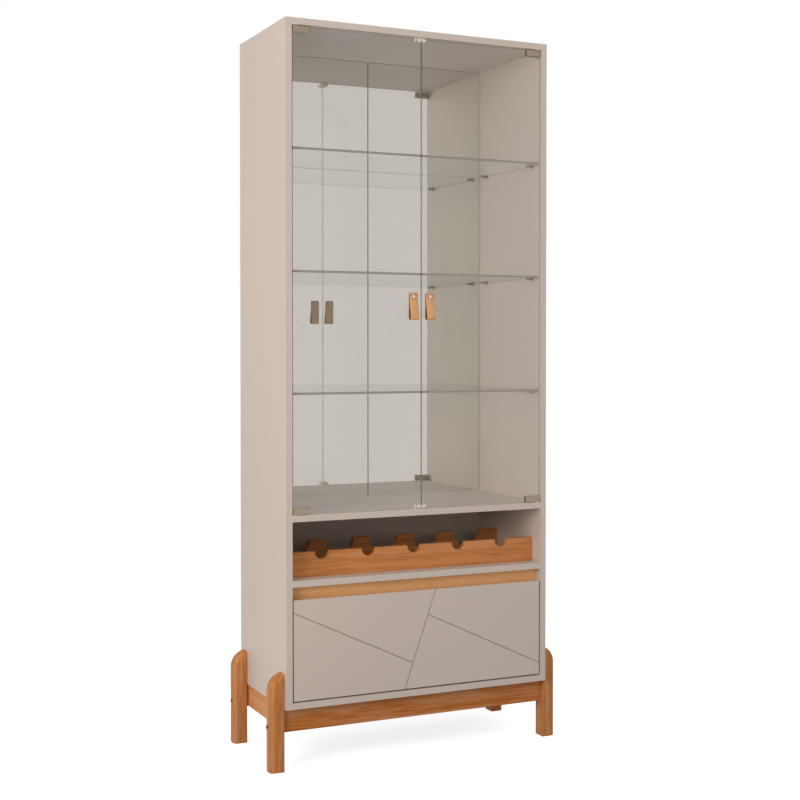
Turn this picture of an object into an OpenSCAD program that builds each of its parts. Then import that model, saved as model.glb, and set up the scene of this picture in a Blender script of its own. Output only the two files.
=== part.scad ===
// China cabinet on a wooden leg frame, with two pivoting glass doors over glass shelves,
// a bottle niche and a drawer. Millimetres, +Z up, the front faces -Y.
// The origin is on the floor, under the middle of the whole cabinet.

/* [Carcass] */
// Width over the side panels
cab_w = 730; // [600:10:900]
// Depth from the front edges to the rear edges
cab_d = 346; // [330:2:420]
// Height of the carcass, without its base
cab_h = 1680; // [1500:10:1900]
// Thickness of the boards
board_t = 16; // [15:0.5:19]
// Thickness of the back panel
back_t = 3; // [2.5:0.5:6]
// Width of the rebate that holds the back panel
rebate_w = 8; // [5:0.5:10]
// Thickness of the mirror panels
mirror_t = 3; // [2:0.5:5]
// Gap between the two mirror panels
mirror_gap = 0.8; // [0.4:0.2:3]
// Gap between a mirror panel and the boards beside and above it
mirror_edge_gap = 1; // [0.5:0.5:2]

/* [Compartments] */
// Clear height of the drawer bay
drawer_bay_h = 282.5; // [260:2.5:340]
// Clear height of the bottle niche
niche_h = 143.5; // [130:0.5:180]

/* [Base] */
// Height of the carcass above the floor
base_h = 154; // [110:2:190]
// Width of a leg across the cabinet
leg_w = 37; // [30:1:46]
// Depth of a leg from front to back
leg_d = 39; // [34:1:48]
// Height of a leg
leg_h = 241; // [235:1:300]
// Radius of a leg's outer long edges
leg_outer_r = 12; // [4:0.5:15]
// Radius of a leg's inner long edges
leg_inner_r = 2.5; // [1:0.5:4]
// How much larger the radius of a leg's round top is than the leg's width
leg_top_extra = 7; // [0:0.5:12]
// Distance from the carcass's front plane to the front legs, and from the rear plane to the rear legs
leg_setback = 13; // [4:1:30]
// Height of the aprons and side rails
apron_h = 59; // [40:1:80]
// Thickness of the aprons and side rails
apron_t = 22; // [18:1:28]
// Distance from a leg's outer face to the apron's outer face
apron_setback = 11; // [4:1:14]
// Distance from the carcass's outer plane to the side rail's outer face
rail_setback = 4; // [0:1:12]
// Diameter of the leg bolts
leg_bolt_d = 6; // [5:1:8]
// Diameter of a leg bolt's domed head
leg_bolt_head_d = 13; // [11:0.5:18]
// Height of a leg bolt's domed head
leg_bolt_head_h = 4; // [2:0.2:5]
// Drop of the leg bolts below the carcass
leg_bolt_drop = 45; // [20:1:50]
// How far a leg bolt reaches into the apron
leg_bolt_reach = 40; // [30:1:60]
// Diameter of a barrel nut
barrel_nut_d = 10; // [8:0.5:12]
// Length of a barrel nut
barrel_nut_l = 16; // [12:1:20]

/* [Glass shelves] */
// Thickness of a glass shelf
shelf_t = 6; // [4:0.5:10]
// Number of glass shelves, spaced so that the bays between them are equal
shelf_n = 3; // [3:1:3]
// Distance from the front plane to a shelf's front edge
shelf_front = 14; // [13.5:0.5:40]
// Gap between a shelf and the walls beside and behind it
shelf_gap = 1.5; // [0.5:0.5:4]
// Radius of a shelf's corners
shelf_corner_r = 4; // [1:0.5:12]
// Distance from the front plane to the front shelf supports
support_front = 46; // [30:1:90]
// Distance from the front plane to the rear shelf supports
support_rear = 297; // [220:1:310]
// Length of a shelf support from the wall
support_l = 19; // [12:0.5:26]
// Width of a shelf support
support_w = 10; // [6:0.5:16]
// Thickness of a shelf support's tongue
support_t = 3; // [2:0.5:5]
// Diameter of a shelf support's peg
peg_d = 5; // [4:0.5:6]
// Length of a shelf support's peg in the wall
peg_l = 8; // [5:0.5:11]
// Diameter of the stop collar on the peg
collar_d = 8; // [7:0.5:10]
// Thickness of the stop collar
collar_t = 1.2; // [0.8:0.2:2]

/* [Doors] */
// Thickness of the door glass
glass_t = 4; // [3:0.5:6]
// Distance from the front plane to the door glass
glass_set = 3; // [2.6:0.1:5]
// Gap between a door and the side panel
door_side_gap = 2.5; // [2:0.25:4]
// Gap between the two doors
door_mid_gap = 3; // [2:0.5:6]
// Gap between a door and the top panel
door_top_gap = 5; // [4:0.25:8]
// Gap between a door and the display floor
door_low_gap = 3.5; // [3.5:0.25:8]

/* [Pivot hinges] */
// Width of a hinge clip
clip_w = 42; // [30:1:60]
// Height of glass that a hinge clip covers
clip_h = 14; // [10:0.5:24]
// Thickness of a hinge clip's front plate
clip_front_t = 2.4; // [1.5:0.1:2.5]
// Thickness of a hinge clip's rear plate
clip_rear_t = 4.6; // [3:0.2:6]
// Thickness of the web over the glass edge
clip_web_t = 2; // [1:0.1:2]
// Distance from a door's outer edge to its pivot axis
pivot_in = 7; // [6.5:0.25:9]
// Diameter of a pivot stud
pivot_d = 5; // [4:0.5:6]
// Depth of a pivot stud in its bush
pivot_reach = 8; // [5:0.5:9]
// Outer diameter of a pivot bush
bush_d = 8.5; // [8:0.25:10]
// Diameter of a pivot bush's flange
bush_flange_d = 13; // [11:0.5:16]
// Thickness of a pivot bush's flange
bush_flange_t = 1; // [0.6:0.1:1.2]
// Thickness of a pivot bush's closed end
bush_end_t = 1; // [0.6:0.1:1.5]
// Gap between a pivot stud's tip and that end
pivot_tip_gap = 0.5; // [0.3:0.1:1]
// Gap between the glass and a hinge clip's rear plate
clip_rear_gap = 0.3; // [0.2:0.1:0.6]
// Diameter of a hinge clip's set screws
set_screw_d = 5; // [3:0.5:6]
// How far a set screw stands out behind its clip
set_screw_out = 0.3; // [0:0.1:1]
// Depth of a set screw's hexagon socket
set_screw_socket = 2; // [1:0.5:3]

/* [Catches] */
// Width of a double magnetic catch
catch_w = 26; // [22:1:40]
// Depth of a double magnetic catch
catch_d = 12; // [9:0.5:20]
// Height of a double magnetic catch
catch_h = 9; // [6:0.5:12]
// Radius of a catch's upright corners
catch_corner_r = 1.5; // [0.5:0.5:3]
// Air between a catch and the strike clips
catch_air = 0.4; // [0.3:0.1:1]
// Width of a magnet's recess
magnet_w = 8; // [5:0.5:9]
// Height of a magnet's recess
magnet_h = 4.8; // [3:0.2:5.4]
// Depth of a magnet's recess
magnet_in = 0.8; // [0.4:0.1:1.5]
// Diameter of a catch's screw hole
catch_hole_d = 3.4; // [2.5:0.1:4]
// Diameter of the recess for that screw's head
catch_head_d = 6.4; // [5:0.1:7]
// Depth of the recess for that screw's head
catch_head_in = 2; // [1:0.5:3]
// Width of a strike clip on a door's corner
strike_w = 11; // [8:0.5:14]
// Height of glass that a strike clip covers
strike_h = 6.5; // [5:0.5:12]
// Thickness of a strike clip's steel
strike_t = 0.6; // [0.4:0.1:0.8]

/* [Pulls] */
// Width of a leather strap
strap_w = 24.5; // [16:0.5:34]
// Thickness of the leather
strap_t = 2.4; // [1.6:0.2:3]
// Height of a strap loop
strap_h = 69; // [55:1:100]
// How far a strap loop stands out from the glass
loop_out = 11.6; // [10:0.2:16]
// Distance from a strap to its door's meeting edge
strap_edge = 9.25; // [5:0.25:30]
// Height of a loop's top above the display floor
strap_top = 547.5; // [300:0.5:800]
// Distance from a strap's top to its rivet
rivet_drop = 8.5; // [7:0.5:11]
// Diameter of the rivet's head
rivet_head_d = 10; // [7:0.5:12]
// Height of the rivet's domed heads
rivet_head_h = 1.6; // [1:0.2:2.4]
// Diameter of the rivet's shank
rivet_d = 4; // [3:0.5:5]
// Gap between the rivet's shank and the hole in the glass
rivet_glass_gap = 0.5; // [0.3:0.1:1]

/* [Bottle rack] */
// Height of the two rack boards
rack_h = 62.5; // [50:0.5:80]
// Distance from the front plane to the front rack board
rack_front_at = 42; // [20:1:80]
// Distance from the front plane to the rear rack board
rack_rear_at = 235; // [180:1:300]
// Number of bottle places
bottle_n = 5; // [3:1:5]
// Distance between two bottle places
bottle_pitch = 127; // [100:1:134]
// Radius of the neck notches
neck_r = 20; // [16:0.5:24]
// Radius of the cradle notches
cradle_r = 40; // [36:0.5:44]
// Depth of the cradle notches
cradle_deep = 43.5; // [30:0.5:46]

/* [Drawer] */
// Gap round the drawer front
drawer_gap = 3.5; // [2:0.25:5]
// Height of the grip slot above the drawer front
grip_slot_h = 31.5; // [25:0.5:45]
// Distance from the front plane to the grip rail
grip_rail_at = 22; // [20:0.5:34]
// Height of the grip rail
grip_rail_h = 40; // [32:1:44]
// Distance from the front plane to the drawer front
drawer_set = 1; // [0:0.5:3]
// Size of the bevel behind the drawer front's top edge
grip_bevel = 11; // [6:0.5:12]
// Thickness of the drawer box sides and back
box_t = 12; // [10:0.5:15]
// Height of the drawer box
box_h = 180; // [120:1:190]
// Room between the drawer box and the back panel
box_room = 26; // [8:1:40]
// Height of the drawer box above the bottom panel
box_lift = 24; // [16:1:34]
// Thickness of the drawer bottom
box_bottom_t = 3; // [2.5:0.5:6]
// Height of the groove that holds the drawer bottom above the box's lower edge
box_groove_up = 8; // [5:0.5:14]
// Depth of the groove that holds the drawer bottom
box_groove_d = 5; // [3:0.5:7]

/* [Decorative grooves] */
// Width of a groove
groove_w = 3; // [1.5:0.5:5]
// Depth of a groove
groove_d = 2; // [1:0.5:4]
// Where the leaning groove meets the top edge, to the right of the middle
groove_top_x = 41; // [0:0.5:80]
// Lean of that groove from upright, in degrees
groove_lean = 19.5; // [10:0.1:25]
// Fall of the two side grooves from level, in degrees
groove_fall = 25.25; // [18:0.05:30]
// Height of the left groove at the left edge, above the lower edge
groove_left_z = 216.5; // [190:0.5:230]
// Height of the right groove at the right edge, above the lower edge
groove_right_z = 30; // [10:0.5:60]

/* [Drawer slides] */
// Distance from the drawer front to the slides
slide_at = 2; // [0.5:0.5:4]
// How much shorter a slide is than the drawer box
slide_short = 10; // [5:1:20]
// Height of a slide
slide_h = 45; // [35:1:50]
// Thickness of a closed slide
slide_t = 12.7; // [12:0.1:14]
// Thickness of the slide's steel
slide_steel = 1.2; // [0.8:0.1:1.5]
// Running clearance between two members
slide_gap = 0.3; // [0.2:0.05:0.5]
// Height of a slide's middle above the bottom panel
slide_up = 96; // [60:1:120]

/* [Fittings] */
// Diameter of a wooden dowel
dowel_d = 8; // [6:1:8]
// Length of a wooden dowel
dowel_l = 30; // [26:1:35]
// How deep a dowel sits in the side panel or the top panel
dowel_in = 10; // [8:0.5:12]
// Distance from the front and rear planes to the dowels
dowel_at = 50; // [30:1:80]
// Diameter of a cam lock
cam_d = 15; // [12:1:15]
// Depth of a cam lock in its board
cam_h = 12; // [10:0.5:12.5]
// Distance from a board's end to the cam's middle
cam_in = 24; // [20:0.5:34]
// Room past a cam bolt's tip in its cam lock
cam_tip_room = 1.5; // [0.5:0.5:3]
// Width of the slot in a cam lock
cam_slot_w = 1.2; // [0.8:0.2:2]
// Depth of the slot in a cam lock
cam_slot_in = 1.5; // [0.8:0.1:2.5]
// Diameter of a cam bolt
cam_bolt_d = 6; // [5:0.5:7]
// Distance from the front and rear planes to the cam locks
cam_at = 90; // [70:1:120]
// Diameter of a top screw's shank
top_screw_d = 5; // [4:0.5:6]
// Diameter of a top screw's head
top_screw_head_d = 10; // [8:0.5:11]
// Height of the straight part of a top screw's head
top_screw_head_h = 2; // [1:0.5:3]
// Height of the cone under a top screw's head
top_screw_cone_h = 2.5; // [1.5:0.5:4]
// Length of a top screw
top_screw_l = 50; // [40:1:60]

/* [Hidden] */
$fn = 48;

// Clearance round a piece that is pushed into its hole by hand
push_fit = 0.1;
// Clearance round a shaft that turns
run_fit = 0.05;
// Across the corners of a hexagon socket, and its depth
socket_d = 4.6;
socket_deep = 1.8;
// Clearance between the back panel and the rebate round it
back_fit = 0.5;
// Air between the leather and the door glass
strap_air = 0.3;
// Air between the two leaves of a leather loop
leaf_gap = 0.2;
// Extra length of a cut past the face that it opens
past = 1;

PAINT = "#c9b9ab";
TIMBER = "#bf8049";
GLASS = [0.80, 0.88, 0.85, 0.35];
MIRROR = "#d4d8d6";
NICKEL = "#a49a8a";
LEATHER = "#c98f5c";
ZINC = "#b9bcbe";
WHITE = "#eeeae2";

// Distances across the cabinet are measured from its middle
half_w = cab_w / 2;
half_in = half_w - board_t;

// Depths are measured back from the front plane at front_y
pull_proud = loop_out - glass_set;
front_y = -(cab_d - pull_proud) / 2;
rear_y = front_y + cab_d;
board_rear_y = rear_y - back_t;
mirror_y = board_rear_y - mirror_t;

// Heights are measured from the floor
bay_z = base_h + board_t;
niche_under_z = bay_z + drawer_bay_h;
niche_z = niche_under_z + board_t;
display_under_z = niche_z + niche_h;
display_z = display_under_z + board_t;
top_z = base_h + cab_h - board_t;

shelf_bay_h = (top_z - display_z - shelf_n * shelf_t) / (shelf_n + 1);
shelf_tops = [for (i = [1:shelf_n]) display_z + i * (shelf_bay_h + shelf_t)];
support_ys = [front_y + support_front, front_y + support_rear];
dowel_ys = [front_y + dowel_at, rear_y - dowel_at];
cam_ys = [front_y + cam_at, rear_y - cam_at];
board_mid_zs = [base_h + board_t / 2, niche_under_z + board_t / 2, display_under_z + board_t / 2];

door_out_x = half_in - door_side_gap;
door_in_x = door_mid_gap / 2;
door_low_z = display_z + door_low_gap;
door_high_z = top_z - door_top_gap;
glass_y = front_y + glass_set;
pivot_x = door_out_x - pivot_in;
pivot_y = glass_y + glass_t / 2;
bush_l = pivot_reach + pivot_tip_gap + bush_end_t;

strap_x = door_in_x + strap_edge + strap_w / 2;
strap_top_z = display_z + strap_top;
rivet_z = strap_top_z - rivet_drop;

leg_ys = [front_y + leg_setback, rear_y - leg_setback - leg_d];
apron_ys = [leg_ys[0] + apron_setback, leg_ys[1] + leg_d - apron_setback - apron_t];
bolt_z = base_h - leg_bolt_drop;
bolt_ys = [apron_ys[0] + apron_t / 2, apron_ys[1] + apron_t / 2];

front_y0 = front_y + drawer_set;
box_y = front_y0 + board_t;
box_l = board_rear_y - box_room - box_y;
box_z = bay_z + box_lift;
box_out_x = half_in - slide_t;
drawer_low_z = bay_z + drawer_gap;
drawer_high_z = niche_under_z - grip_slot_h;
drawer_front_h = drawer_high_z - drawer_low_z;
drawer_half = half_in - drawer_gap;
slide_l = box_l - slide_short;
slide_y = box_y + slide_at;
slide_z = bay_z + slide_up;

// A box between its lowest and its highest corner
module block(low, high) {
    translate(low) cube(high - low);
}

// A rectangle with true round corners, from [0, 0]
module rounded_rect(size, r) {
    translate([r, 0]) square([size.x - 2 * r, size.y]);
    translate([0, r]) square([size.x, size.y - 2 * r]);
    for (x = [r, size.x - r])
        for (y = [r, size.y - r])
            translate([x, y]) circle(r);
}

// A cylinder along +X from the given point
module rod_x(from, d, l) {
    translate(from) rotate([0, 90, 0]) cylinder(d = d, h = l);
}

// A cylinder along +Y from the given point
module rod_y(from, d, l) {
    translate(from) rotate([-90, 0, 0]) cylinder(d = d, h = l);
}

// A domed head with its flat side down at z = 0
module dome(d, h) {
    r = (d * d / 4 + h * h) / (2 * h);
    rotate_extrude()
        intersection() {
            translate([0, h - r]) circle(r, $fn = 160);
            square([d / 2, h]);
        }
}

// Shows its child on the right and, mirrored, on the left
module both_sides() {
    children();
    mirror([1, 0, 0]) children();
}

// Carcass

module side_panel() {
    color(PAINT) difference() {
        block([half_in, front_y, base_h], [half_w, rear_y, top_z]);
        block([half_in - past, board_rear_y, base_h - past],
            [half_in + rebate_w, rear_y + past, top_z + past]);
        for (z = shelf_tops)
            for (y = support_ys)
                rod_x([half_in - past, y, z - shelf_t - peg_d / 2], peg_d + 2 * push_fit, peg_l + 2 * past);
        for (z = board_mid_zs) {
            for (y = dowel_ys)
                rod_x([half_in - past, y, z], dowel_d + 2 * push_fit, dowel_in + 2 * past);
            for (y = cam_ys)
                rod_x([half_in - past, y, z], cam_bolt_d + 2 * push_fit, dowel_in + 2 * past);
        }
        for (y = dowel_ys)
            translate([half_w - board_t / 2, y, top_z - dowel_l + dowel_in - past])
                cylinder(d = dowel_d + 2 * push_fit, h = dowel_l);
        for (y = cam_ys)
            translate([half_w - board_t / 2, y, top_z + board_t - top_screw_l - past])
                cylinder(d = top_screw_d + 2 * push_fit, h = top_screw_l);
    }
}

module side_panel_left() {
    mirror([1, 0, 0]) side_panel();
}

module side_panel_right() {
    side_panel();
}

module top_panel() {
    color(PAINT) difference() {
        block([-half_w, front_y, top_z], [half_w, rear_y, top_z + board_t]);
        block([-half_in - rebate_w, board_rear_y, top_z - past],
            [half_in + rebate_w, rear_y + past, top_z + rebate_w]);
        both_sides() {
            for (y = dowel_ys)
                translate([half_w - board_t / 2, y, top_z - past])
                    cylinder(d = dowel_d + 2 * push_fit, h = dowel_in + 2 * past);
            for (y = cam_ys)
                translate([half_w - board_t / 2, y, top_z + board_t])
                    top_screw_shape(push_fit);
            translate([pivot_x, pivot_y, top_z - past])
                cylinder(d = bush_d + 2 * push_fit, h = bush_l + 2 * past);
        }
    }
}

// A board between the side panels, with its dowel holes and its cam locks' pockets
module inner_board(z) {
    difference() {
        block([-half_in, front_y, z], [half_in, board_rear_y, z + board_t]);
        both_sides() {
            for (y = dowel_ys)
                rod_x([half_in - dowel_l + dowel_in - past, y, z + board_t / 2], dowel_d + 2 * push_fit,
                    dowel_l);
            for (y = cam_ys) {
                rod_x([half_in - cam_in, y, z + board_t / 2], cam_bolt_d + 2 * push_fit, cam_in + past);
                translate([half_in - cam_in, y, z - past])
                    cylinder(d = cam_d + 2 * push_fit, h = cam_h + past + push_fit);
            }
        }
    }
}

module display_floor() {
    color(PAINT) difference() {
        inner_board(display_under_z);
        both_sides()
            translate([pivot_x, pivot_y, display_z - bush_l - past])
                cylinder(d = bush_d + 2 * push_fit, h = bush_l + 2 * past);
    }
}

module niche_floor() {
    color(PAINT) inner_board(niche_under_z);
}

module bottom_panel() {
    color(PAINT) inner_board(base_h);
}

module back_panel() {
    reach = half_in + rebate_w - back_fit;
    color("#cfc4b6")
        block([-reach, board_rear_y, base_h], [reach, rear_y, top_z + rebate_w - back_fit]);
}

module mirror_right() {
    color(MIRROR)
        block([mirror_gap / 2, mirror_y, display_z],
            [half_in - mirror_edge_gap, board_rear_y, top_z - mirror_edge_gap]);
}

module mirror_left() {
    mirror([1, 0, 0]) mirror_right();
}

// Fittings in the carcass

module panel_dowels() {
    color("#d8b98a") both_sides() {
        for (z = board_mid_zs)
            for (y = dowel_ys)
                rod_x([half_in - dowel_l + dowel_in, y, z], dowel_d, dowel_l);
        for (y = dowel_ys)
            translate([half_w - board_t / 2, y, top_z - dowel_l + dowel_in])
                cylinder(d = dowel_d, h = dowel_l);
    }
}

module cam_locks() {
    color(ZINC) both_sides()
        for (z = board_mid_zs)
            for (y = cam_ys)
                difference() {
                    translate([half_in - cam_in, y, z - board_t / 2])
                        cylinder(d = cam_d, h = cam_h);
                    rod_x([half_in - cam_in - cam_tip_room, y, z], cam_bolt_d + 2 * push_fit, cam_d);
                    translate([half_in - cam_in - cam_d / 4, y - cam_slot_w / 2, z - board_t / 2 - past])
                        cube([cam_d / 2, cam_slot_w, past + cam_slot_in]);
                }
}

module cam_bolts() {
    color(ZINC) both_sides()
        for (z = board_mid_zs)
            for (y = cam_ys)
                rod_x([half_in - cam_in, y, z], cam_bolt_d, cam_in + dowel_in);
}

// A countersunk screw that hangs down from its head's face
module top_screw_shape(fit) {
    mirror([0, 0, 1]) {
        translate([0, 0, -past]) cylinder(d = top_screw_head_d + 2 * fit, h = past + top_screw_head_h);
        translate([0, 0, top_screw_head_h])
            cylinder(d1 = top_screw_head_d + 2 * fit, d2 = top_screw_d + 2 * fit, h = top_screw_cone_h);
        cylinder(d = top_screw_d + 2 * fit, h = top_screw_l);
    }
}

module top_screws() {
    color(ZINC) both_sides()
        for (y = cam_ys)
            intersection() {
                translate([half_w - board_t / 2, y, top_z + board_t]) top_screw_shape(0);
                translate([half_w - board_t / 2, y, top_z + board_t - top_screw_l])
                    difference() {
                        cylinder(d = top_screw_head_d, h = top_screw_l);
                        translate([0, 0, top_screw_l - socket_deep])
                            cylinder(d = socket_d, h = socket_deep + past, $fn = 6);
                    }
            }
}

// Glass shelves and their supports

module glass_shelf(z) {
    color(GLASS)
        translate([-half_in + shelf_gap, front_y + shelf_front, z - shelf_t])
            linear_extrude(shelf_t)
                rounded_rect([2 * (half_in - shelf_gap), mirror_y - shelf_gap - front_y - shelf_front],
                    shelf_corner_r);
}

module shelf_upper() {
    glass_shelf(shelf_tops[2]);
}

module shelf_middle() {
    glass_shelf(shelf_tops[1]);
}

module shelf_lower() {
    glass_shelf(shelf_tops[0]);
}

// One support on the right-hand wall: a peg, a stop collar and a tongue with a round end
module shelf_support() {
    rod_x([0, 0, -peg_d / 2], peg_d, peg_l);
    rod_x([-collar_t, 0, -peg_d / 2], collar_d, collar_t);
    translate([-support_l, 0, -support_t])
        linear_extrude(support_t) {
            translate([support_w / 2, -support_w / 2]) square([support_l - support_w / 2, support_w]);
            translate([support_w / 2, 0]) circle(d = support_w);
        }
}

module shelf_supports() {
    color(NICKEL) both_sides()
        for (z = shelf_tops)
            for (y = support_ys)
                translate([half_in, y, z - shelf_t]) shelf_support();
}

// Pivot bushes

// A blind flanged bush that hangs down from the face that it is pressed into
module pivot_bush() {
    difference() {
        union() {
            translate([0, 0, -bush_l]) cylinder(d = bush_d, h = bush_l);
            cylinder(d = bush_flange_d, h = bush_flange_t);
        }
        translate([0, 0, bush_end_t - bush_l])
            cylinder(d = pivot_d + 2 * run_fit, h = bush_l + bush_flange_t);
    }
}

module pivot_bushes() {
    color(WHITE) both_sides() {
        translate([pivot_x, pivot_y, display_z]) pivot_bush();
        translate([pivot_x, pivot_y, top_z]) mirror([0, 0, 1]) pivot_bush();
    }
}

// Magnetic catches

catch_y = glass_y + glass_t + strike_t + catch_air;

// One catch on the floor: a housing with two magnets between steel plates
module magnet_catch() {
    color(WHITE) difference() {
        translate([-catch_w / 2, 0, 0])
            linear_extrude(catch_h) rounded_rect([catch_w, catch_d], catch_corner_r);
        for (side = [-1, 1])
            translate([side * catch_w / 4 - magnet_w / 2, -past, (catch_h - magnet_h) / 2])
                cube([magnet_w, past + magnet_in, magnet_h]);
        translate([0, catch_d / 2, -past]) cylinder(d = catch_hole_d, h = catch_h + 2 * past);
        translate([0, catch_d / 2, catch_h - catch_head_in])
            cylinder(d = catch_head_d, h = catch_head_in + past);
    }
}

module magnet_catch_lower() {
    translate([0, catch_y, display_z]) magnet_catch();
}

module magnet_catch_upper() {
    translate([0, catch_y, top_z]) mirror([0, 0, 1]) magnet_catch();
}

// Bottle rack

function bottle_x(i) = (i - (bottle_n - 1) / 2) * bottle_pitch;

module rack_front() {
    color(TIMBER) difference() {
        block([-half_in, front_y + rack_front_at, niche_z],
            [half_in, front_y + rack_front_at + board_t, niche_z + rack_h]);
        for (i = [0:bottle_n - 1])
            rod_y([bottle_x(i), front_y + rack_front_at - past, niche_z + rack_h], 2 * neck_r,
                board_t + 2 * past);
    }
}

module rack_rear() {
    color(TIMBER) difference() {
        block([-half_in, front_y + rack_rear_at, niche_z],
            [half_in, front_y + rack_rear_at + board_t, niche_z + rack_h]);
        for (i = [0:bottle_n - 1])
            rod_y([bottle_x(i), front_y + rack_rear_at - past, niche_z + rack_h - cradle_deep + cradle_r],
                2 * cradle_r, board_t + 2 * past);
    }
}

module grip_rail() {
    color(TIMBER)
        block([-half_in, front_y + grip_rail_at, niche_under_z - grip_rail_h],
            [half_in, front_y + grip_rail_at + board_t, niche_under_z]);
}

// Base

// A leg with its inner face at x = 0 and its front face at y = 0. Its outer face turns over in a round
// top, and the radius of its outer edges follows that round up to the inner face.
module leg() {
    top_r = leg_w + leg_top_extra;
    straight_h = leg_h - sqrt(top_r * top_r - leg_top_extra * leg_top_extra);
    intersection() {
        union() {
            linear_extrude(straight_h) outward_section(leg_w);
            translate([-leg_top_extra, 0, straight_h])
                rotate([90, 0, 0])
                    mirror([0, 0, 1])
                        rotate_extrude(angle = 90) outward_section(top_r);
        }
        linear_extrude(leg_h) inward_section();
    }
}

// A section of the given width and the leg's depth, with its outer corners rounded
module outward_section(width) {
    square([width - leg_outer_r, leg_d]);
    translate([0, leg_outer_r]) square([width, leg_d - 2 * leg_outer_r]);
    for (y = [leg_outer_r, leg_d - leg_outer_r])
        translate([width - leg_outer_r, y]) circle(leg_outer_r);
}

// The leg's section with its inner corners rounded, which reaches past the outer face
module inward_section() {
    translate([leg_inner_r, 0]) square([leg_w - leg_inner_r + past, leg_d]);
    translate([0, leg_inner_r]) square([leg_w, leg_d - 2 * leg_inner_r]);
    for (y = [leg_inner_r, leg_d - leg_inner_r])
        translate([leg_inner_r, y]) circle(leg_inner_r);
}

// The hole for a leg bolt, from the leg's outer face to past its inner face
module leg_bolt_hole(i) {
    rod_x([half_w - past, bolt_ys[i], bolt_z], leg_bolt_d + 2 * push_fit, leg_w + 2 * past);
}

module placed_leg(i) {
    color(TIMBER) difference() {
        translate([half_w, leg_ys[i], 0]) leg();
        leg_bolt_hole(i);
    }
}

module leg_front_right() {
    placed_leg(0);
}

module leg_rear_right() {
    placed_leg(1);
}

module leg_front_left() {
    mirror([1, 0, 0]) placed_leg(0);
}

module leg_rear_left() {
    mirror([1, 0, 0]) placed_leg(1);
}

module apron(i) {
    color(TIMBER) difference() {
        block([-half_w, apron_ys[i], base_h - apron_h], [half_w, apron_ys[i] + apron_t, base_h]);
        both_sides() {
            rod_x([half_w - leg_bolt_reach - past, bolt_ys[i], bolt_z], leg_bolt_d + 2 * push_fit,
                leg_bolt_reach + 2 * past);
            translate([nut_x, bolt_ys[i], base_h - apron_h - past])
                cylinder(d = barrel_nut_d + 2 * push_fit,
                    h = past + bolt_z - base_h + apron_h + barrel_nut_l / 2);
        }
    }
}

nut_x = half_w - leg_bolt_reach + barrel_nut_d / 2;

module apron_front() {
    apron(0);
}

module apron_rear() {
    apron(1);
}

module rail_right() {
    color(TIMBER)
        block([half_w - rail_setback - apron_t, apron_ys[0] + apron_t, base_h - apron_h],
            [half_w - rail_setback, apron_ys[1], base_h]);
}

module rail_left() {
    mirror([1, 0, 0]) rail_right();
}

// A bolt along +X with its shank's end at x = 0 and a domed head
module leg_bolt() {
    shank_l = leg_w + leg_bolt_reach;
    rod_x([0, 0, 0], leg_bolt_d, shank_l);
    difference() {
        translate([shank_l, 0, 0]) rotate([0, 90, 0]) dome(leg_bolt_head_d, leg_bolt_head_h);
        translate([shank_l + leg_bolt_head_h - socket_deep, 0, 0])
            rotate([0, 90, 0]) cylinder(d = socket_d, h = socket_deep + past, $fn = 6);
    }
}

module leg_bolts() {
    color(ZINC) both_sides()
        for (y = bolt_ys)
            translate([half_w - leg_bolt_reach, y, bolt_z]) leg_bolt();
}

module barrel_nuts() {
    color(ZINC) both_sides()
        for (y = bolt_ys)
            difference() {
                translate([nut_x, y, bolt_z - barrel_nut_l / 2])
                    cylinder(d = barrel_nut_d, h = barrel_nut_l);
                rod_x([nut_x - barrel_nut_d, y, bolt_z], leg_bolt_d + 2 * push_fit, 2 * barrel_nut_d);
            }
}

// Doors, drawn on the right and mirrored for the left

module door_glass() {
    color(GLASS) difference() {
        block([door_in_x, glass_y, door_low_z], [door_out_x, glass_y + glass_t, door_high_z]);
        rod_y([strap_x, glass_y - past, rivet_z], rivet_d + 2 * rivet_glass_gap, glass_t + 2 * past);
    }
}

// A lower hinge clip round the glass corner, with its pivot stud. The origin is on the pivot axis,
// at the glass's lower edge and front face.
module hinge_clip() {
    clip_deep = clip_front_t + glass_t + clip_rear_gap + clip_rear_t;
    difference() {
        translate([pivot_in - clip_w, -clip_front_t, -clip_web_t])
            block([0, 0, 0], [clip_w, clip_deep, clip_h + clip_web_t]);
        translate([pivot_in - clip_w - past, 0, 0])
            cube([clip_w + 2 * past, glass_t + clip_rear_gap, clip_h + past]);
        for (x = clip_screw_xs)
            rod_y([x, glass_t, clip_h / 2], set_screw_d + 2 * push_fit, clip_rear_gap + clip_rear_t + past);
    }
    translate([0, glass_t / 2, -door_low_gap - pivot_reach])
        cylinder(d = pivot_d, h = door_low_gap + pivot_reach - clip_web_t);
}

// The set screws stand at these shares of the clip's width
clip_screw_xs = [for (share = [0.3, 0.75]) pivot_in - clip_w * share];

// An upper clip is a lower one turned over, with a stud long enough for the wider gap above
module hinge_clip_upper() {
    color(NICKEL) translate([pivot_x, glass_y, door_high_z]) mirror([0, 0, 1]) {
        hinge_clip();
        translate([0, glass_t / 2, -door_top_gap - pivot_reach]) cylinder(d = pivot_d, h = door_top_gap);
    }
}

module hinge_clip_lower() {
    color(NICKEL) translate([pivot_x, glass_y, door_low_z]) hinge_clip();
}

set_screw_l = clip_rear_gap + clip_rear_t + set_screw_out;

module clip_screws() {
    color(ZINC)
        for (z = [door_low_z + clip_h / 2, door_high_z - clip_h / 2])
            for (x = clip_screw_xs)
                difference() {
                    rod_y([pivot_x + x, glass_y + glass_t, z], set_screw_d, set_screw_l);
                    translate([pivot_x + x, glass_y + glass_t + set_screw_l - set_screw_socket, z])
                        rotate([-90, 0, 0])
                            cylinder(d = set_screw_d * 0.55, h = set_screw_socket + past, $fn = 6);
                }
}

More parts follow.
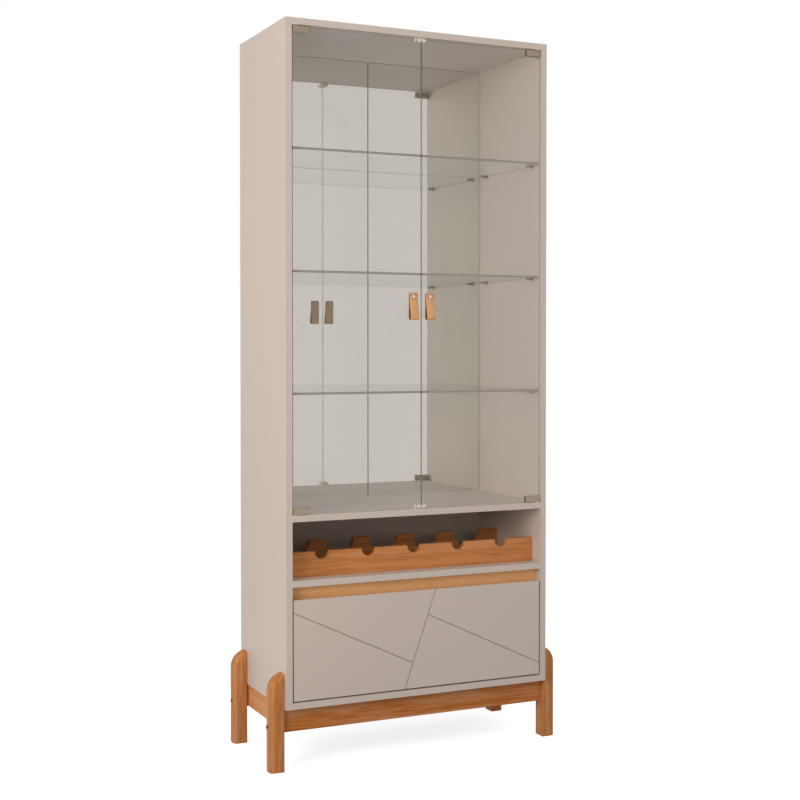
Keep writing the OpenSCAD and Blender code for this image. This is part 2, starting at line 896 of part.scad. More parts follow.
// Thin steel clips that wrap the two corners at the meeting edge
module strike_clips() {
    color(ZINC) {
        strike_clip(door_low_z);
        translate([0, 0, door_high_z]) mirror([0, 0, 1]) strike_clip(0);
    }
}

module strike_clip(z) {
    difference() {
        block([door_in_x - strike_t, glass_y - strike_t, z - strike_t],
            [door_in_x + strike_w, glass_y + glass_t + strike_t, z + strike_h]);
        block([door_in_x, glass_y, z],
            [door_in_x + strike_w + past, glass_y + glass_t, z + strike_h + past]);
    }
}

// Leather pulls

// The strap's middle line, as [distance out from the glass, height above the loop's lowest point]:
// the fold at the bottom is a half circle and the front leaf sweeps in to the rivet.
back_leaf_out = strap_air + strap_t / 2;
front_leaf_out = back_leaf_out + strap_t + leaf_gap;
fold_r = (loop_out - strap_t) / 2 - strap_t / 4;
fold_out = loop_out - strap_t / 2 - fold_r;
front_low = fold_r + strap_t / 2;
front_high = strap_h - 2 * rivet_drop;
sweep_steps = 14;
back_steps = 4;
fold_step = 15;
function smooth(t) = t * t * (3 - 2 * t);
function front_out(t) = let(bulge = fold_out + fold_r) bulge + (front_leaf_out - bulge) * smooth(t);
function back_out(t) = let(bulge = fold_out - fold_r) bulge + (back_leaf_out - bulge) * smooth(t);
middle_line = concat(
    [[front_leaf_out, strap_h]],
    [for (i = [0:sweep_steps])
        let(t = 1 - i / sweep_steps) [front_out(t), front_low + (front_high - front_low) * t]],
    [for (a = [fold_step:fold_step:180 - fold_step])
        [fold_out + fold_r * cos(a), front_low - fold_r * sin(a)]],
    [for (i = [0:back_steps])
        let(t = i / back_steps) [back_out(t), front_low + (front_high - front_low) / 3 * t]],
    [[back_leaf_out, strap_h]]
);

// The unit vector square to the middle line at point i
function line_normal(i) =
    let(a = middle_line[max(i - 1, 0)], b = middle_line[min(i + 1, len(middle_line) - 1)], d = b - a)
    [d.y, -d.x] / norm(d);
function strap_side(k) =
    [for (i = [0:len(middle_line) - 1]) middle_line[i] + k * strap_t / 2 * line_normal(i)];
function reversed(list) = [for (i = [len(list) - 1:-1:0]) list[i]];

module pull_strap() {
    color(LEATHER) difference() {
        translate([strap_x - strap_w / 2, glass_y, strap_top_z - strap_h])
            rotate([90, 0, 90])
                linear_extrude(strap_w)
                    mirror([1, 0, 0])
                        polygon(concat(strap_side(1), reversed(strap_side(-1))));
        rod_y([strap_x, glass_y - loop_out, rivet_z], rivet_d + 2 * push_fit, loop_out + past);
    }
}

module pull_rivet() {
    leather_h = front_leaf_out + strap_t / 2;
    color(NICKEL) {
        rod_y([strap_x, glass_y - leather_h, rivet_z], rivet_d, leather_h + glass_t);
        translate([strap_x, glass_y - leather_h, rivet_z])
            rotate([90, 0, 0]) dome(rivet_head_d, rivet_head_h);
        translate([strap_x, glass_y + glass_t, rivet_z])
            rotate([-90, 0, 0]) dome(rivet_head_d, rivet_head_h);
    }
}

module door_glass_right() {
    door_glass();
}

module door_glass_left() {
    mirror([1, 0, 0]) door_glass();
}

module hinge_clip_upper_right() {
    hinge_clip_upper();
}

module hinge_clip_upper_left() {
    mirror([1, 0, 0]) hinge_clip_upper();
}

module hinge_clip_lower_right() {
    hinge_clip_lower();
}

module hinge_clip_lower_left() {
    mirror([1, 0, 0]) hinge_clip_lower();
}

module clip_screws_right() {
    clip_screws();
}

module clip_screws_left() {
    mirror([1, 0, 0]) clip_screws();
}

module strike_clips_right() {
    strike_clips();
}

module strike_clips_left() {
    mirror([1, 0, 0]) strike_clips();
}

module pull_strap_right() {
    pull_strap();
}

module pull_strap_left() {
    mirror([1, 0, 0]) pull_strap();
}

module pull_rivet_right() {
    pull_rivet();
}

module pull_rivet_left() {
    mirror([1, 0, 0]) pull_rivet();
}

// Drawer

// A groove's outline along the line from a to b, both as [x, height above the front's lower edge]
module groove_line(a, b, from_past, to_past) {
    d = b - a;
    translate(a)
        rotate(atan2(d.y, d.x))
            translate([-from_past, -groove_w / 2])
                square([norm(d) + from_past + to_past, groove_w]);
}

module groove_outlines() {
    groove_line([lean_low_x, 0], [groove_top_x, drawer_front_h], groove_w, groove_w);
    groove_line([-drawer_half, groove_left_z], left_join, groove_w, 0);
    groove_line(right_join, [drawer_half, groove_right_z], 0, groove_w);
}

lean_t = tan(groove_lean);
fall_t = tan(groove_fall);
lean_low_x = groove_top_x - drawer_front_h * lean_t;
left_join_z = (groove_left_z - (lean_low_x + drawer_half) * fall_t) / (1 + lean_t * fall_t);
left_join = [lean_low_x + left_join_z * lean_t, left_join_z];
right_join_z = (groove_right_z + (drawer_half - lean_low_x) * fall_t) / (1 + lean_t * fall_t);
right_join = [lean_low_x + right_join_z * lean_t, right_join_z];

module drawer_front() {
    color(PAINT) difference() {
        block([-drawer_half, front_y0, drawer_low_z], [drawer_half, front_y0 + board_t, drawer_high_z]);
        translate([-drawer_half - past, front_y0 + board_t, drawer_high_z])
            rotate([-45, 0, 0])
                translate([0, -grip_bevel * sqrt(2), -grip_bevel * sqrt(2) / 2])
                    cube([2 * (drawer_half + past), 2 * grip_bevel * sqrt(2), grip_bevel * sqrt(2)]);
        translate([0, front_y0 + groove_d, drawer_low_z])
            rotate([90, 0, 0])
                linear_extrude(groove_d + past) groove_outlines();
    }
}

bottom_z = box_z + box_groove_up;

module drawer_side_right() {
    color(PAINT) difference() {
        block([box_out_x - box_t, box_y, box_z], [box_out_x, box_y + box_l, box_z + box_h]);
        block([box_out_x - box_t - past, box_y - past, bottom_z],
            [box_out_x - box_t + box_groove_d, box_y + box_l + past,
                bottom_z + box_bottom_t + 2 * push_fit]);
    }
}

module drawer_side_left() {
    mirror([1, 0, 0]) drawer_side_right();
}

module drawer_back() {
    color(PAINT)
        block([-box_out_x + box_t, box_y + box_l - box_t, bottom_z + box_bottom_t + 2 * push_fit],
            [box_out_x - box_t, box_y + box_l, box_z + box_h]);
}

module drawer_bottom() {
    reach = box_out_x - box_t + box_groove_d - push_fit;
    color("#cfc4b6")
        block([-reach, box_y, bottom_z + push_fit],
            [reach, box_y + box_l, bottom_z + push_fit + box_bottom_t]);
}

// Drawer slides

// A steel channel seen along the slide: its web stands at x = web, its flanges run to x = tip
module channel(web, tip, h) {
    low = min(web, tip);
    long = abs(tip - web);
    inside = web < tip ? web + slide_steel : tip - past;
    difference() {
        translate([low, -h / 2]) square([long, h]);
        translate([inside, -h / 2 + slide_steel])
            square([long - slide_steel + past, h - 2 * slide_steel]);
    }
}

step_h = 2 * (slide_steel + slide_gap);
step_x = slide_steel + slide_gap;

// Each member is drawn on the right, with x counted from the side panel towards the middle
module slide_member(web, tip, h) {
    color(ZINC)
        translate([half_in, slide_y, slide_z])
            mirror([1, 0, 0])
                rotate([90, 0, 0])
                    mirror([0, 0, 1])
                        linear_extrude(slide_l)
                            channel(web, tip, h);
}

module slide_outer_right() {
    slide_member(0, slide_t - 2 * step_x, slide_h);
}

module slide_middle_right() {
    slide_member(step_x, slide_t - step_x, slide_h - step_h);
}

module slide_inner_right() {
    slide_member(slide_t, 2 * step_x, slide_h - 2 * step_h);
}

module slide_outer_left() {
    mirror([1, 0, 0]) slide_outer_right();
}

module slide_middle_left() {
    mirror([1, 0, 0]) slide_middle_right();
}

module slide_inner_left() {
    mirror([1, 0, 0]) slide_inner_right();
}

side_panel_left();
side_panel_right();
top_panel();
display_floor();
niche_floor();
bottom_panel();
back_panel();
mirror_left();
mirror_right();
shelf_upper();
shelf_middle();
shelf_lower();
shelf_supports();
pivot_bushes();
magnet_catch_upper();
magnet_catch_lower();
rack_front();
rack_rear();
grip_rail();
leg_front_left();
leg_front_right();
leg_rear_left();
leg_rear_right();
apron_front();
apron_rear();
rail_left();
rail_right();
leg_bolts();
barrel_nuts();
slide_outer_left();
slide_outer_right();
panel_dowels();
cam_locks();
cam_bolts();
top_screws();
door_glass_left();
hinge_clip_upper_left();
hinge_clip_lower_left();
clip_screws_left();
strike_clips_left();
pull_strap_left();
pull_rivet_left();
door_glass_right();
hinge_clip_upper_right();
hinge_clip_lower_right();
clip_screws_right();
strike_clips_right();
pull_strap_right();
pull_rivet_right();
slide_middle_left();
slide_middle_right();
drawer_front();
drawer_side_left();
drawer_side_right();
drawer_back();
drawer_bottom();
slide_inner_left();
slide_inner_right();
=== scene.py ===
"""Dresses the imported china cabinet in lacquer, oiled hardwood, glass, mirror, leather and metal.

It is laid out as an add-on and run as a script. Lengths are in metres, in the frame of the CAD
model: origin on the floor under the middle of the cabinet, front towards -Y, +Z up.
"""

import math

import bmesh
import bpy
from mathutils import Matrix, Vector


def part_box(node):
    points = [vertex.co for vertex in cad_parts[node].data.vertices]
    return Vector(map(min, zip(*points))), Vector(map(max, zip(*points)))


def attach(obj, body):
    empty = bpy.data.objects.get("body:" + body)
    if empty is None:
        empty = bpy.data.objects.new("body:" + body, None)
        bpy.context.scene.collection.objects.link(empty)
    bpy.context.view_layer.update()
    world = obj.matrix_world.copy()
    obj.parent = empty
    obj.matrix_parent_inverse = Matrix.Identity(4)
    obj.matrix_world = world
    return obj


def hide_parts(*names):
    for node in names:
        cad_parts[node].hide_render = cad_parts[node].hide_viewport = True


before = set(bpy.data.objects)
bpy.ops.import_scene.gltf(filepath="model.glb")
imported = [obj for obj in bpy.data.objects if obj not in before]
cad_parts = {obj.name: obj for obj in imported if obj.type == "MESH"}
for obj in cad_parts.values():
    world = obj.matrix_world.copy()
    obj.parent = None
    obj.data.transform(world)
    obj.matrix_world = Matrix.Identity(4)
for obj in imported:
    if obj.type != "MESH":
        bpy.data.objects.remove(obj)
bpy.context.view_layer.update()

bl_info = {
    "name": "China cabinet dressing",
    "version": (1, 0, 0),
    "blender": (4, 5, 0),
    "location": "3D View > Sidebar > China cabinet",
    "description": "Finishes, leather pulls, small trim and studio for the china cabinet",
    "category": "Object",
}

MM = 0.001
WHITE = (1.0, 1.0, 1.0)

# The CAD nodes by finish, the hardwood ones by the way that their grain runs
BOARDS = (
    "side_panel_left", "side_panel_right", "top_panel", "display_floor", "niche_floor",
    "bottom_panel", "drawer_side_left", "drawer_side_right", "drawer_back",
)
THIN_PANELS = ("back_panel", "drawer_bottom")
GRAIN_UP = ("leg_front_left", "leg_front_right", "leg_rear_left", "leg_rear_right")
GRAIN_ACROSS = ("apron_front", "apron_rear")
GRAIN_BACK = ("rail_left", "rail_right")
RACK = ("rack_front", "rack_rear")
GRIP = ("grip_rail",)
SHELVES = ("shelf_upper", "shelf_middle", "shelf_lower")
DOOR_PANES = ("door_glass_left", "door_glass_right")
MIRRORS = ("mirror_left", "mirror_right")
HINGE_CLIPS = (
    "hinge_clip_upper_left", "hinge_clip_lower_left",
    "hinge_clip_upper_right", "hinge_clip_lower_right",
)
BRIGHT_METAL = ("strike_clips_left", "strike_clips_right", "pull_rivet_left", "pull_rivet_right")
ZINC_METAL = (
    "barrel_nuts", "cam_locks", "cam_bolts", "top_screws", "clip_screws_left", "clip_screws_right",
    "slide_outer_left", "slide_outer_right", "slide_middle_left", "slide_middle_right",
    "slide_inner_left", "slide_inner_right",
)
PLASTIC = ("pivot_bushes", "magnet_catch_upper", "magnet_catch_lower")
# The boards that the back panel is nailed to between its edges
NAILED_BOARDS = ("bottom_panel", "niche_floor", "display_floor")

# Making: what counts as one corner and as a sharp edge, how strongly large faces rule the shading
# beside a rounding, and how squarely a surface has to look along an axis to count as facing it
WELD_DISTANCE = 0.005 * MM
SHARP_ANGLE = math.radians(35)
FACE_WEIGHT = 60
FACING = 0.5
# The room between a door's glass and the back of its strap
STRAP_AIR = 0.3 * MM

# The light on the cabinet from all round
AMBIENT = (0.58, 0.60, 0.63)
# The floor: half its length, its paint, the brightness added where the camera sees it, and the
# distances from the middle between which it fades to plain white
FLOOR_HALF = 40
FLOOR_PAINT = 0.8
FLOOR_LIFT = 0.72
FLOOR_FADE = (0.7, 2.6)
# How pale the floor is to the light that it sends back up, near the cabinet and far from it, and
# the distances that count as near and far
FLOOR_BOUNCE = (0.34, 0.86)
BOUNCE_REACH = (0.7, 2.2)
# The room that mirrors, glass and metal show, its dimmer side walls and ceiling, and how far a ray
# points sideways or up where the room begins to dim and where it is dimmest
ROOM = "#E2D6CE"
ROOM_DIM = "#8B857E"
DIM_WALLS = (0.7, 0.95)
DIM_CEILING = (0.3, 0.7)
# The light that mirrors and glass pass on to dull surfaces, in place of the lamps that they hide
PASSED_ON = (1.78, 1.74, 1.60)
# Rays that have met a surface of one kind have a depth above this
ANY_BOUNCE = 0.5
# Each lamp's name, place, aim, size, colour and power in watts, and whether metal shows it
LAMPS = (
    ("key from the left", (-3.6, -2.15, 1.75), (0, 0, 0.9), 1.8, "#FFFAF5", 84.5, False),
    ("overhead fill", (0.3, -2.6, 4.4), (0, 0, 0.9), 2.4, "#FFFFFF", 14.0, True),
)

# The camera, at the photograph's viewing angle: its place, its turn, its lens and sensor in mm, how
# far its picture is shifted, and how far it sees
CAMERA_PLACE = (-1.5285, -3.3073, 1.0366)
CAMERA_TURN = (math.radians(90 - 1.12), 0, math.radians(-25.06))
CAMERA_LENS = 62.09
CAMERA_SENSOR = 36
CAMERA_SHIFT = -0.03175
CAMERA_SIGHT = 200


def linear(code):
    """The linear colour of an sRGB hex code."""
    parts = [int(code[i : i + 2], 16) / 255 for i in (1, 3, 5)]
    return tuple(c / 12.92 if c <= 0.04045 else ((c + 0.055) / 1.055) ** 2.4 for c in parts)


def rgba(colour):
    """A colour with full alpha, for a shader's socket."""
    return (*colour[:3], 1.0)


def shaded(colour, factor):
    """A lighter or darker version of a colour."""
    return rgba([min(1.0, c * factor) for c in colour])


# Sizes and colours that a user would change


def colour_property(name, code, description):
    """A colour that a user can change, given as an sRGB hex code."""
    return bpy.props.FloatVectorProperty(
        name=name, description=description, subtype="COLOR", size=3, min=0, max=1,
        default=linear(code),
    )


def length_property(name, millimetres, description):
    """A length that a user can change."""
    return bpy.props.FloatProperty(
        name=name, description=description, unit="LENGTH", subtype="DISTANCE", min=0,
        default=millimetres * MM,
    )


class CabinetFinishes(bpy.types.PropertyGroup):
    """The colours of the cabinet's finishes"""

    lacquer: colour_property("Lacquer", "#CBBBAE", "Colour of the sprayed boards")
    timber: colour_property("Timber", "#B86B29", "Middle colour of the aprons")
    rack_timber: colour_property("Rack timber", "#C67F46", "Middle colour of the bottle rack")
    leg_timber: colour_property("Leg timber", "#C07A3F", "Middle colour of the legs")
    pale_timber: colour_property("Pale timber", "#D6945B", "Middle colour of the side rails")
    # The grip rail's timber is paler than the rest: painted light that makes up for the shade of
    # its recess
    grip_timber: colour_property("Grip rail timber", "#EBAD72", "Middle colour of the grip rail")
    hardboard: colour_property("Hardboard", "#CDBFB0", "Painted face of the thin panels")
    bare_board: colour_property("Bare hardboard", "#9A7450", "Bare fibres behind the thin panels")
    glass_edge: colour_property("Door glass edge", "#BDB9AE", "Polished edges of the doors")
    shelf_edge: colour_property("Shelf edge", "#A4988B", "Ground edges of the shelves")
    leather: colour_property("Leather", "#DAA26C", "Top side of the pulls")
    leather_edge: colour_property("Leather edge", "#8A5228", "Burnished cut edge of the pulls")
    # Dark brown, partly the flesh side's own colour and partly painted shade inside the loops
    flesh: colour_property("Leather inside", "#6E3F1E", "Flesh side, inside the pulls' loops")
    nickel: colour_property("Nickel", "#AEA594", "Satin plating of hinge clips and shelf supports")
    bright_nickel: colour_property("Bright nickel", "#E9E7DE", "Plating of strike clips and rivets")
    bronze: colour_property("Bronze", "#8E6C48", "Bronzed heads of the leg bolts")
    zinc: colour_property("Zinc", "#C2C5C8", "Bright zinc of screws and slides")
    plastic: colour_property("Plastic", "#EDEAE2", "Catches and pivot bushes")


class CabinetDetails(bpy.types.PropertyGroup):
    """The sizes of the cabinet's roundings, pulls and nails"""

    board_round: length_property("Board edge", 0.8, "Rounding that the lacquer leaves on an edge")
    groove_round: length_property("Groove edge", 0.3, "Rounding of the drawer front's edges")
    panel_round: length_property("Thin panel edge", 0.3, "Rounding of the thin panels' edges")
    timber_round: length_property("Timber edge", 1.2, "Sanded rounding of the hardwood's edges")
    glass_arris: length_property("Glass arris", 0.5, "Ground arris on the edges of the glass")
    metal_round: length_property("Metal edge", 0.3, "Rounding of the small fittings' edges")
    clip_round: length_property("Clip edge", 0.7, "Rounding of the cast hinge clips' edges")
    strap_width: length_property("Strap width", 24.5, "Width of a leather pull")
    strap_thick: length_property("Strap thickness", 2.0, "Thickness of the leather")
    strap_corner: length_property("Strap corner", 3.0, "Radius of the corners at a strap's top")
    strap_edge: length_property("Strap edge", 0.55, "Rounding of the leather's rubbed edges")
    nail_pitch: length_property("Nail pitch", 118.0, "Distance between the back panel's nails")
    nail_head: length_property("Nail head", 5.0, "Diameter of a nail's head")
    nail_height: length_property("Nail height", 0.6, "How far a nail's head stands out")
    nail_inset: length_property("Nail inset", 4.0, "From the back panel's edge to its nails")


def chosen(context):
    """The finishes and the details that the user has set."""
    return context.scene.cabinet_finishes, context.scene.cabinet_details


# Materials


def add(tree, kind, inputs=None, **settings):
    """Adds a node with its settings. A socket among the inputs is linked, any other value set."""
    node = tree.nodes.new(kind)
    for name, value in settings.items():
        setattr(node, name, value)
    for key, value in (inputs or {}).items():
        if isinstance(value, bpy.types.NodeSocket):
            tree.links.new(value, node.inputs[key])
        else:
            node.inputs[key].default_value = value
    return node


def new_material(name):
    """An empty material and its node tree."""
    material = bpy.data.materials.new(name)
    material.use_nodes = True
    material.node_tree.nodes.clear()
    return material, material.node_tree


def per_mm(millimetres):
    """The scale at which a texture that repeats once a unit repeats once in this length."""
    return 1 / (millimetres * MM)


def sprayed_lacquer(name, finishes, face_y=None):
    """Satin lacquer sprayed on fibreboard: an even tone, a soft sheen and a faint orange peel.

    face_y is where a grooved front has its face. The floors of its grooves are painted darker:
    painted shade in the recesses.
    """
    material, tree = new_material(name)
    coordinates = add(tree, "ShaderNodeTexCoord").outputs
    place = coordinates["Object"]
    # Slow drift of the film's tone over 300 mm, a few per cent
    drift = add(tree, "ShaderNodeTexNoise", {"Vector": place, "Scale": per_mm(300), "Detail": 3.0})
    film = add(tree, "ShaderNodeMix", {
        "Factor": drift.outputs["Fac"],
        "A": shaded(finishes.lacquer, 0.975),
        "B": shaded(finishes.lacquer, 1.025),
    }, data_type="RGBA").outputs["Result"]
    if face_y is not None:
        # The groove's floor looks forward from more than 0.6 mm behind the face
        depth = add(tree, "ShaderNodeSeparateXYZ", {"Vector": place}).outputs["Y"]
        behind = add(tree, "ShaderNodeMath", {
            0: depth, 1: face_y + 0.6 * MM,
        }, operation="GREATER_THAN")
        facing = add(tree, "ShaderNodeSeparateXYZ", {"Vector": coordinates["Normal"]}).outputs["Y"]
        front = add(tree, "ShaderNodeMath", {0: facing, 1: -FACING}, operation="LESS_THAN")
        floor = add(tree, "ShaderNodeMath", {
            0: behind.outputs["Value"], 1: front.outputs["Value"],
        }, operation="MULTIPLY")
        # Painted shade: the groove floors are darkened to 0.68 of the lacquer's colour
        film = add(tree, "ShaderNodeMix", {
            "Factor": floor.outputs["Value"], "A": film, "B": shaded(finishes.lacquer, 0.68),
        }, data_type="RGBA").outputs["Result"]
    sheen = add(tree, "ShaderNodeTexNoise", {"Vector": place, "Scale": per_mm(60), "Detail": 4.0})
    rough = add(tree, "ShaderNodeMapRange", {
        "Value": sheen.outputs["Fac"], "To Min": 0.40, "To Max": 0.52,
    })
    # Orange peel of about 2.5 mm
    peel = add(tree, "ShaderNodeTexNoise", {"Vector": place, "Scale": per_mm(2.5), "Detail": 2.0})
    bump = add(tree, "ShaderNodeBump", {
        "Height": peel.outputs["Fac"], "Strength": 0.06, "Distance": 0.1 * MM,
    })
    body = add(tree, "ShaderNodeBsdfPrincipled", {
        "Base Color": film, "Roughness": rough.outputs["Result"],
        "Normal": bump.outputs["Normal"], "IOR": 1.5,
    })
    add(tree, "ShaderNodeOutputMaterial", {"Surface": body.outputs["BSDF"]})
    return material


def oiled_hardwood(name, timber, squeeze, figure):
    """Straight-grained reddish hardwood, planed and oiled: fibres, growth bands and dark pores.

    squeeze scales the coordinates, small along the grain, so the pattern is drawn out along the
    piece. figure is how strongly the grain shows, 1 on the boldest boards.
    """
    material, tree = new_material(name)
    place = add(tree, "ShaderNodeTexCoord").outputs["Object"]
    along = add(tree, "ShaderNodeMapping", {"Vector": place, "Scale": squeeze}).outputs["Vector"]
    # Growth bands about 10 mm wide, half the noise's length, wandering
    sway = add(tree, "ShaderNodeTexNoise", {
        "Vector": along, "Scale": per_mm(22), "Detail": 3.0, "Roughness": 0.55, "Distortion": 0.6,
    }).outputs["Fac"]
    # Fibre streaks of about 2 mm across, coarser than real so that they show
    fibre = add(tree, "ShaderNodeTexNoise", {
        "Vector": along, "Scale": per_mm(3.4), "Detail": 5.0, "Roughness": 0.65,
    }).outputs["Fac"]
    # Broad change of tone from one board to the next
    broad = add(tree, "ShaderNodeTexNoise", {
        "Vector": place, "Scale": per_mm(240), "Detail": 1.0,
    }).outputs["Fac"]
    grain = add(tree, "ShaderNodeMath", {0: sway, 1: fibre}, operation="ADD").outputs["Value"]
    mixed = add(tree, "ShaderNodeMath", {0: broad, 1: 0.45, 2: grain}, operation="MULTIPLY_ADD")
    # The middle of that sum, and how far from it the grain is darkest and palest
    middle, spread = 1.22, 0.25 / figure
    level = add(tree, "ShaderNodeMapRange", {
        "Value": mixed.outputs["Value"], "From Min": middle - spread, "From Max": middle + spread,
    })
    # Dark late wood, the timber's own colour, and early wood that leans to the pale sapwood
    ramp = add(tree, "ShaderNodeValToRGB", {"Fac": level.outputs["Result"]})
    late, early = ramp.color_ramp.elements
    late.position, late.color = 0.0, shaded(timber, 0.64)
    lean, sapwood = 0.26, linear("#EBC4A0")
    early.position = 1.0
    early.color = rgba([c + lean * (pale - c) for c, pale in zip(timber, sapwood)])
    ramp.color_ramp.elements.new(0.48).color = rgba(timber)
    # Pores: short dark dashes 0.7 mm wide, drawn a little coarser than real so that they show
    pore = add(tree, "ShaderNodeTexNoise", {"Vector": along, "Scale": per_mm(1.1), "Detail": 2.0})
    dash = add(tree, "ShaderNodeMapRange", {
        "Value": pore.outputs["Fac"], "From Min": 0.60, "From Max": 0.74, "To Max": 0.22,
    })
    colour = add(tree, "ShaderNodeMix", {
        "Factor": dash.outputs["Result"], "A": ramp.outputs["Color"], "B": shaded(timber, 0.34),
    }, data_type="RGBA")
    bump = add(tree, "ShaderNodeBump", {"Height": fibre, "Strength": 0.15, "Distance": 0.15 * MM})
    rough = add(tree, "ShaderNodeMapRange", {"Value": fibre, "To Min": 0.42, "To Max": 0.58})
    body = add(tree, "ShaderNodeBsdfPrincipled", {
        "Base Color": colour.outputs["Result"], "Roughness": rough.outputs["Result"],
        "Normal": bump.outputs["Normal"], "IOR": 1.48, "Specular IOR Level": 0.22,
    })
    add(tree, "ShaderNodeOutputMaterial", {"Surface": body.outputs["BSDF"]})
    return material


def pressed_hardboard(finishes):
    """Thin pressed hardboard: a flat, dull painted face inside, and bare brown fibres behind."""
    material, tree = new_material("painted pressed hardboard")
    coordinates = add(tree, "ShaderNodeTexCoord").outputs
    place = coordinates["Object"]
    facing = add(tree, "ShaderNodeSeparateXYZ", {"Vector": coordinates["Normal"]}).outputs["Y"]
    bare = add(tree, "ShaderNodeMath", {0: facing, 1: FACING}, operation="GREATER_THAN")
    # Flecks of 3 mm in the paint
    fleck = add(tree, "ShaderNodeTexNoise", {
        "Vector": place, "Scale": per_mm(3), "Detail": 6.0, "Roughness": 0.7,
    }).outputs["Fac"]
    paint = add(tree, "ShaderNodeMix", {
        "Factor": fleck,
        "A": shaded(finishes.hardboard, 0.96),
        "B": shaded(finishes.hardboard, 1.04),
    }, data_type="RGBA")
    # Cloudy patches of 60 mm in the pressed fibres, with the flecks over them
    cloud = add(tree, "ShaderNodeTexNoise", {"Vector": place, "Scale": per_mm(60), "Detail": 4.0})
    mixed = add(tree, "ShaderNodeMath", {0: cloud.outputs["Fac"], 1: fleck}, operation="ADD")
    level = add(tree, "ShaderNodeMapRange", {
        "Value": mixed.outputs["Value"], "From Min": 0.75, "From Max": 1.25,
    })
    fibre = add(tree, "ShaderNodeMix", {
        "Factor": level.outputs["Result"],
        "A": shaded(finishes.bare_board, 0.78),
        "B": shaded(finishes.bare_board, 1.22),
    }, data_type="RGBA")
    colour = add(tree, "ShaderNodeMix", {
        "Factor": bare.outputs["Value"], "A": paint.outputs["Result"], "B": fibre.outputs["Result"],
    }, data_type="RGBA")
    bump = add(tree, "ShaderNodeBump", {"Height": fleck, "Strength": 0.1, "Distance": 0.1 * MM})
    body = add(tree, "ShaderNodeBsdfPrincipled", {
        "Base Color": colour.outputs["Result"], "Roughness": 0.78, "Normal": bump.outputs["Normal"],
    })
    add(tree, "ShaderNodeOutputMaterial", {"Surface": body.outputs["BSDF"]})
    return material


def float_glass(name, edge_colour, flat_axis, grind):
    """Clear float glass, polished on its faces. Ground edges scatter light and look grey and dull.

    flat_axis is 0, 1 or 2: the axis that the polished faces look along. grind is how far the edges
    are ground matt, from 0 to 1. Light on its way to or from a dull surface goes straight through.
    """
    material, tree = new_material(name)
    normal = add(tree, "ShaderNodeTexCoord").outputs["Normal"]
    facing = add(tree, "ShaderNodeSeparateXYZ", {"Vector": normal}).outputs[flat_axis]
    flat = add(tree, "ShaderNodeMath", {0: facing}, operation="ABSOLUTE")
    # A surface that looks more than 45 degrees away from that axis is an edge
    edge = add(tree, "ShaderNodeMath", {
        0: flat.outputs["Value"], 1: 0.7,
    }, operation="LESS_THAN").outputs["Value"]
    tint = add(tree, "ShaderNodeMix", {
        "Factor": edge, "A": rgba(linear("#F7FAFC")), "B": rgba(edge_colour),
    }, data_type="RGBA").outputs["Result"]
    rough = add(tree, "ShaderNodeMath", {0: edge, 1: 0.08}, operation="MULTIPLY")
    pane = add(tree, "ShaderNodeBsdfPrincipled", {
        "Base Color": tint, "Roughness": rough.outputs["Value"], "IOR": 1.5,
        "Transmission Weight": 1.0,
    })
    # Light that goes straight through meets both faces, so each face takes the root of the tint
    root = add(tree, "ShaderNodeGamma", {"Color": tint, "Gamma": 0.5})
    clear = add(tree, "ShaderNodeBsdfTransparent", {"Color": root.outputs["Color"]})
    rays = add(tree, "ShaderNodeLightPath").outputs
    dull = add(tree, "ShaderNodeMath", {
        0: rays["Diffuse Depth"], 1: ANY_BOUNCE,
    }, operation="GREATER_THAN")
    passing = add(tree, "ShaderNodeMath", {
        0: rays["Is Shadow Ray"], 1: dull.outputs["Value"],
    }, operation="MAXIMUM")
    polished = add(tree, "ShaderNodeMixShader", {
        0: passing.outputs["Value"], 1: pane.outputs["BSDF"], 2: clear.outputs["BSDF"],
    })
    matt = add(tree, "ShaderNodeBsdfPrincipled", {
        "Base Color": rgba(edge_colour), "Roughness": 0.45,
    })
    ground = add(tree, "ShaderNodeMath", {0: edge, 1: grind}, operation="MULTIPLY")
    whole = add(tree, "ShaderNodeMixShader", {
        0: ground.outputs["Value"], 1: polished.outputs["Shader"], 2: matt.outputs["BSDF"],
    })
    add(tree, "ShaderNodeOutputMaterial", {"Surface": whole.outputs["Shader"]})
    return material


def silvered_mirror(joint_x):
    """Silvered mirror glass: a bright, almost colourless reflection, grey paint behind it.

    joint_x is how far a panel's edge at the joint lies from the middle plane.
    """
    material, tree = new_material("silvered mirror glass")
    coordinates = add(tree, "ShaderNodeTexCoord").outputs
    facing = add(tree, "ShaderNodeSeparateXYZ", {"Vector": coordinates["Normal"]}).outputs["Y"]
    front = add(tree, "ShaderNodeMath", {0: facing, 1: -FACING}, operation="LESS_THAN")
    # A ground arris of 0.9 mm along the joint of the two panels, dark from the paint behind it
    across = add(tree, "ShaderNodeSeparateXYZ", {"Vector": coordinates["Object"]}).outputs["X"]
    off = add(tree, "ShaderNodeMath", {0: across}, operation="ABSOLUTE")
    past = add(tree, "ShaderNodeMath", {
        0: off.outputs["Value"], 1: joint_x + 0.9 * MM,
    }, operation="GREATER_THAN").outputs["Value"]
    silver = add(tree, "ShaderNodeMath", {
        0: front.outputs["Value"], 1: past,
    }, operation="MULTIPLY").outputs["Value"]
    paint = add(tree, "ShaderNodeMix", {
        "Factor": past, "A": rgba(linear("#3A3C3A")), "B": rgba(linear("#8C9692")),
    }, data_type="RGBA")
    tone = add(tree, "ShaderNodeMix", {
        "Factor": silver, "A": paint.outputs["Result"], "B": rgba(linear("#EDEFEC")),
    }, data_type="RGBA")
    rough = add(tree, "ShaderNodeMapRange", {"Value": silver, "To Min": 0.6, "To Max": 0.015})
    body = add(tree, "ShaderNodeBsdfPrincipled", {
        "Base Color": tone.outputs["Result"], "Metallic": silver,
        "Roughness": rough.outputs["Result"],
    })
    add(tree, "ShaderNodeOutputMaterial", {"Surface": body.outputs["BSDF"]})
    return material


